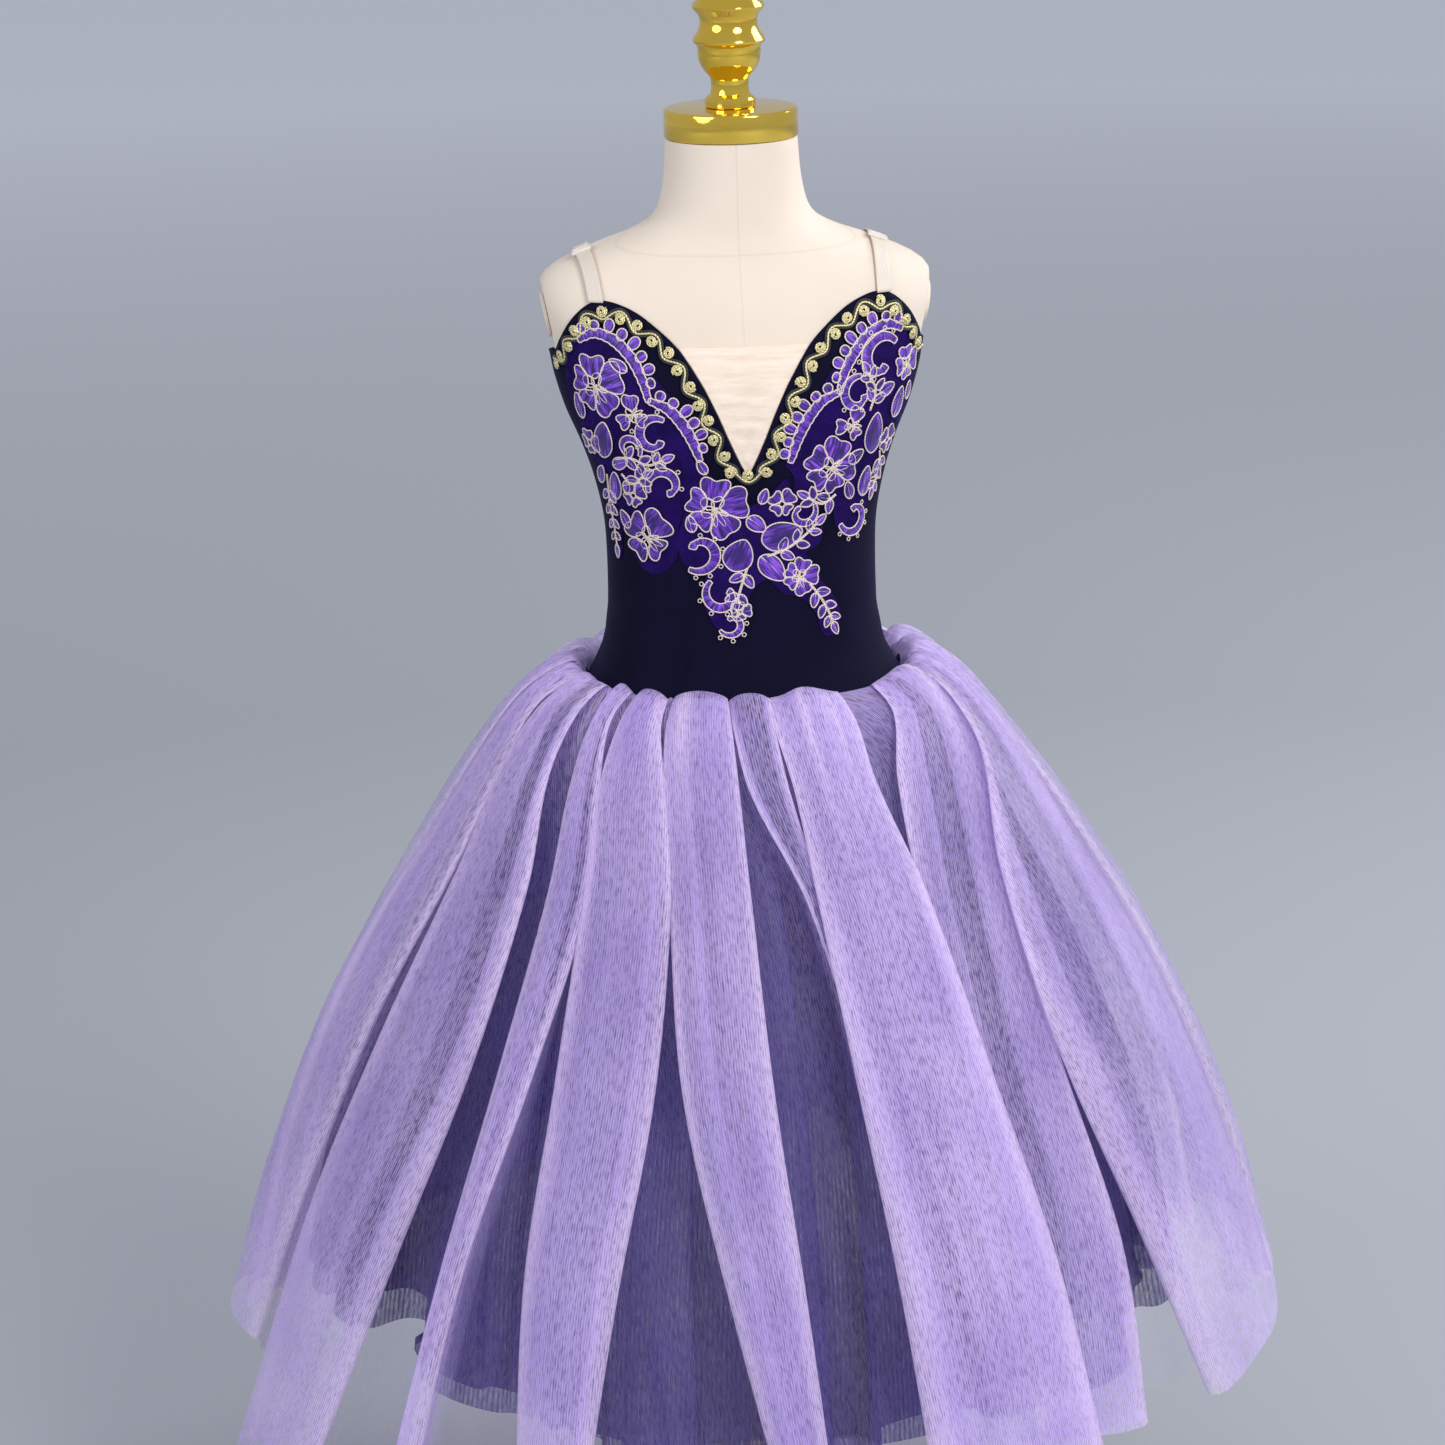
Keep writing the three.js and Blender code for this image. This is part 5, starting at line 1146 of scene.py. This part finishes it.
def flower(middle, size, turn, petals):
    """Notched petals round a heart of loops, or round one small ring."""
    t = full_turn(18)
    for k in range(petals):
        spread = math.pi / petals
        tall = size * (1.1, 0.98, 0.86, 0.82, 1.02)[k]
        along = size * 0.18 + (tall - size * 0.18) * (1 - np.cos(t)) / 2
        wide = tall * math.sin(spread) * (1.0 if petals > 3 else 0.64)
        broad = wide * np.sin(t) * (0.32 + 0.68 * ((1 - np.cos(t)) / 2) ** 0.8)
        along = along - 0.13 * size * np.exp(-((t - math.pi) ** 2) / 0.12) + 0.035 * size * np.sin(3 * t + k)
        outline = np.stack([along, broad], 1)
        stitch_domed(outline, (size * 0.45, 0), middle, turn + k * 360 / petals, 0.55 if size < 12 else 0.0)
    if size > 12:
        loop = full_turn(12)
        for reach, wide, aside in FLOWER_LOOPS:
            ring = np.stack([size * (reach / 2 + reach / 2 * np.cos(loop)), size * wide * np.sin(loop)], 1)
            couched.append((set_down(ring, middle, turn + aside), True, LOOP_CORD))
    else:
        couched.append((circle(10, size * 0.2, middle), True, LOOP_CORD))


def leaf(middle, length, turn, wide, dark):
    """A pointed leaf, with a vein or with a dark heart."""
    t = full_turn(20)
    along = -np.cos(t) * length / 2
    broad = np.sign(np.sin(t)) * np.abs(np.sin(t)) ** 1.25 * wide * length * (1 - 0.25 * np.cos(t + math.pi))
    stitch_domed(np.stack([along, broad], 1), (0, 0), middle, turn, float(dark))
    if not dark:
        vein = np.stack([np.linspace(-0.5, 0.28, 6) * length, 0.03 * length * np.sin(np.linspace(0, 3, 6))], 1)
        couched.append((set_down(vein, middle, turn), False, FINE_CORD))


def scroll(middle, radius, turn, way, picots):
    """A band that curls in on itself, with picots on its back."""
    t = np.linspace(0, 1, 26)
    swept = way * t * 1.5 * math.pi
    reach = radius * (1 - 0.62 * t**1.3)
    line = set_down(np.stack([reach * np.cos(swept), reach * np.sin(swept)], 1), middle, turn)
    half = radius * (0.12 + 0.13 * np.sin(math.pi * np.minimum(1, t * 1.15)) + 0.07 * (t > 0.85))
    stitch_band(line, half)
    for k in range(picots):
        i = 2 + int(k * 17 / max(1, picots - 1))
        away = line[i] - np.asarray(middle, float)
        couched.append((circle(8, 1.5, line[i] + away / np.linalg.norm(away) * (half[i] + 2.2)), True, FINE_CORD))


def sprig(stem, pairs):
    """A stem of two cords, with pairs of leaves and one at its tip."""
    line = evenly(stem, 1.5)
    couched.append((line, False, LOOP_CORD))
    couched.append((beside_line(line, 0.9), False, FINE_CORD))
    for k in range(pairs):
        i = int((0.25 + 0.6 * k / max(1, pairs - 1)) * (len(line) - 1)) if pairs > 1 else len(line) // 2
        run = line[min(i + 1, len(line) - 1)] - line[i - 1]
        for side in (-1, 1):
            reach = 10.4 - 1.0 * k
            out = heading(run) + side * 48
            middle = line[i] + set_down([(reach / 2 + 0.6, 0)], (0, 0), out)[0]
            leaf(middle, reach, out, 0.29, k % 2)
    run = line[-1] - line[-3]
    leaf(line[-1] + run / np.linalg.norm(run) * 4.2, 9.5, heading(run), 0.28, 0)


def border(points, side):
    """A curved band with a row of fingers along one side."""
    line = evenly(points, 1.6)
    share = np.linspace(0, 1, len(line))
    half = 1.7 + 1.9 * np.sin(math.pi * share) ** 0.7 + 0.3 * np.sin(np.arange(len(line)) * 1.9)
    stitch_band(line, half, 1.2)
    t = full_turn(12)
    for i in range(4, len(line) - 3, 5):
        run = line[i + 1] - line[i - 1]
        run = run / np.linalg.norm(run)
        out = np.array([-run[1], run[0]]) * side
        reach = 6.0 + 3.6 * math.sin(math.pi * i / len(line)) ** 2 + 0.8 * math.sin(i * 1.9)
        finger = np.stack([reach * (1 - np.cos(t)) / 2, 3.8 * np.sin(t) * (0.75 + 0.25 * (1 - np.cos(t)) / 2)], 1)
        stitch_domed(finger, (reach * 0.5, 0), line[i] + out * half[i] * 0.6, heading(out))


NET_GRID = 6  # between the cuts that let the net bend to the body
for part, net_lift in (("left", 0.1), ("centre", 0.35), ("right", 0.1)):
    node = "lace_" + part
    stitched = {key: [] for key in stitched}
    couched = []
    for points, side in LACE_BORDERS[part]:
        border(points, side)
    for work, table in ((flower, LACE_FLOWERS), (leaf, LACE_LEAVES), (scroll, LACE_SCROLLS)):
        for x, y, *rest in table[part]:
            work((x, y), *rest)
    for stem, pairs in LACE_SPRIGS[part]:
        sprig(stem, pairs)

    spots = laid(stitched["flat"], LACE_OUT + np.array(stitched["lift"]))
    corners = [corner for face in stitched["faces"] for corner in face]
    fills = smooth_piece(node + "_satin", spots, stitched["faces"], np.array(stitched["uv"])[corners])
    mark(fills, "heart", stitched["heart"])
    satin.put_on(fills, "lace", node)

    cords = [laid_cord(evenly(line, 1.7, ring), radius, CORD_LIFT, ring) for line, ring, radius in couched]
    outlines = tube(node + "_cord", cords, 5)
    champagne.put_on(outlines, "lace", node)

    edge = evenly(LACE_NET[part], 2.2, True)
    cut = bmesh.new()
    cut.faces.new([cut.verts.new((x, y, 0)) for x, y in edge])
    bmesh.ops.triangulate(cut, faces=cut.faces[:])
    for across, low, high in (((1, 0, 0), -140, 140), ((0, 1, 0), 720, 940)):
        for at in range(low, high, NET_GRID):
            every_part = cut.verts[:] + cut.edges[:] + cut.faces[:]
            bmesh.ops.bisect_plane(cut, geom=every_part, plane_co=[at * k for k in across], plane_no=across)
    where = cut.loops.layers.uv.new("net")
    for face in cut.faces:
        face.smooth = True
        for loop in face.loops:
            loop[where].uv = (loop.vert.co.x / 1000, loop.vert.co.y / 1000)
    flat = np.array([corner.co[:2] for corner in cut.verts])
    for corner, spot in zip(cut.verts, laid(flat, LACE_OUT + net_lift)):
        corner.co = spot / 1000
    mesh = bpy.data.meshes.new(node + "_net")
    cut.to_mesh(mesh)
    cut.free()
    ground = bpy.data.objects.new(node + "_net", mesh)
    bpy.context.scene.collection.objects.link(ground)
    net.put_on(ground, "lace", node)
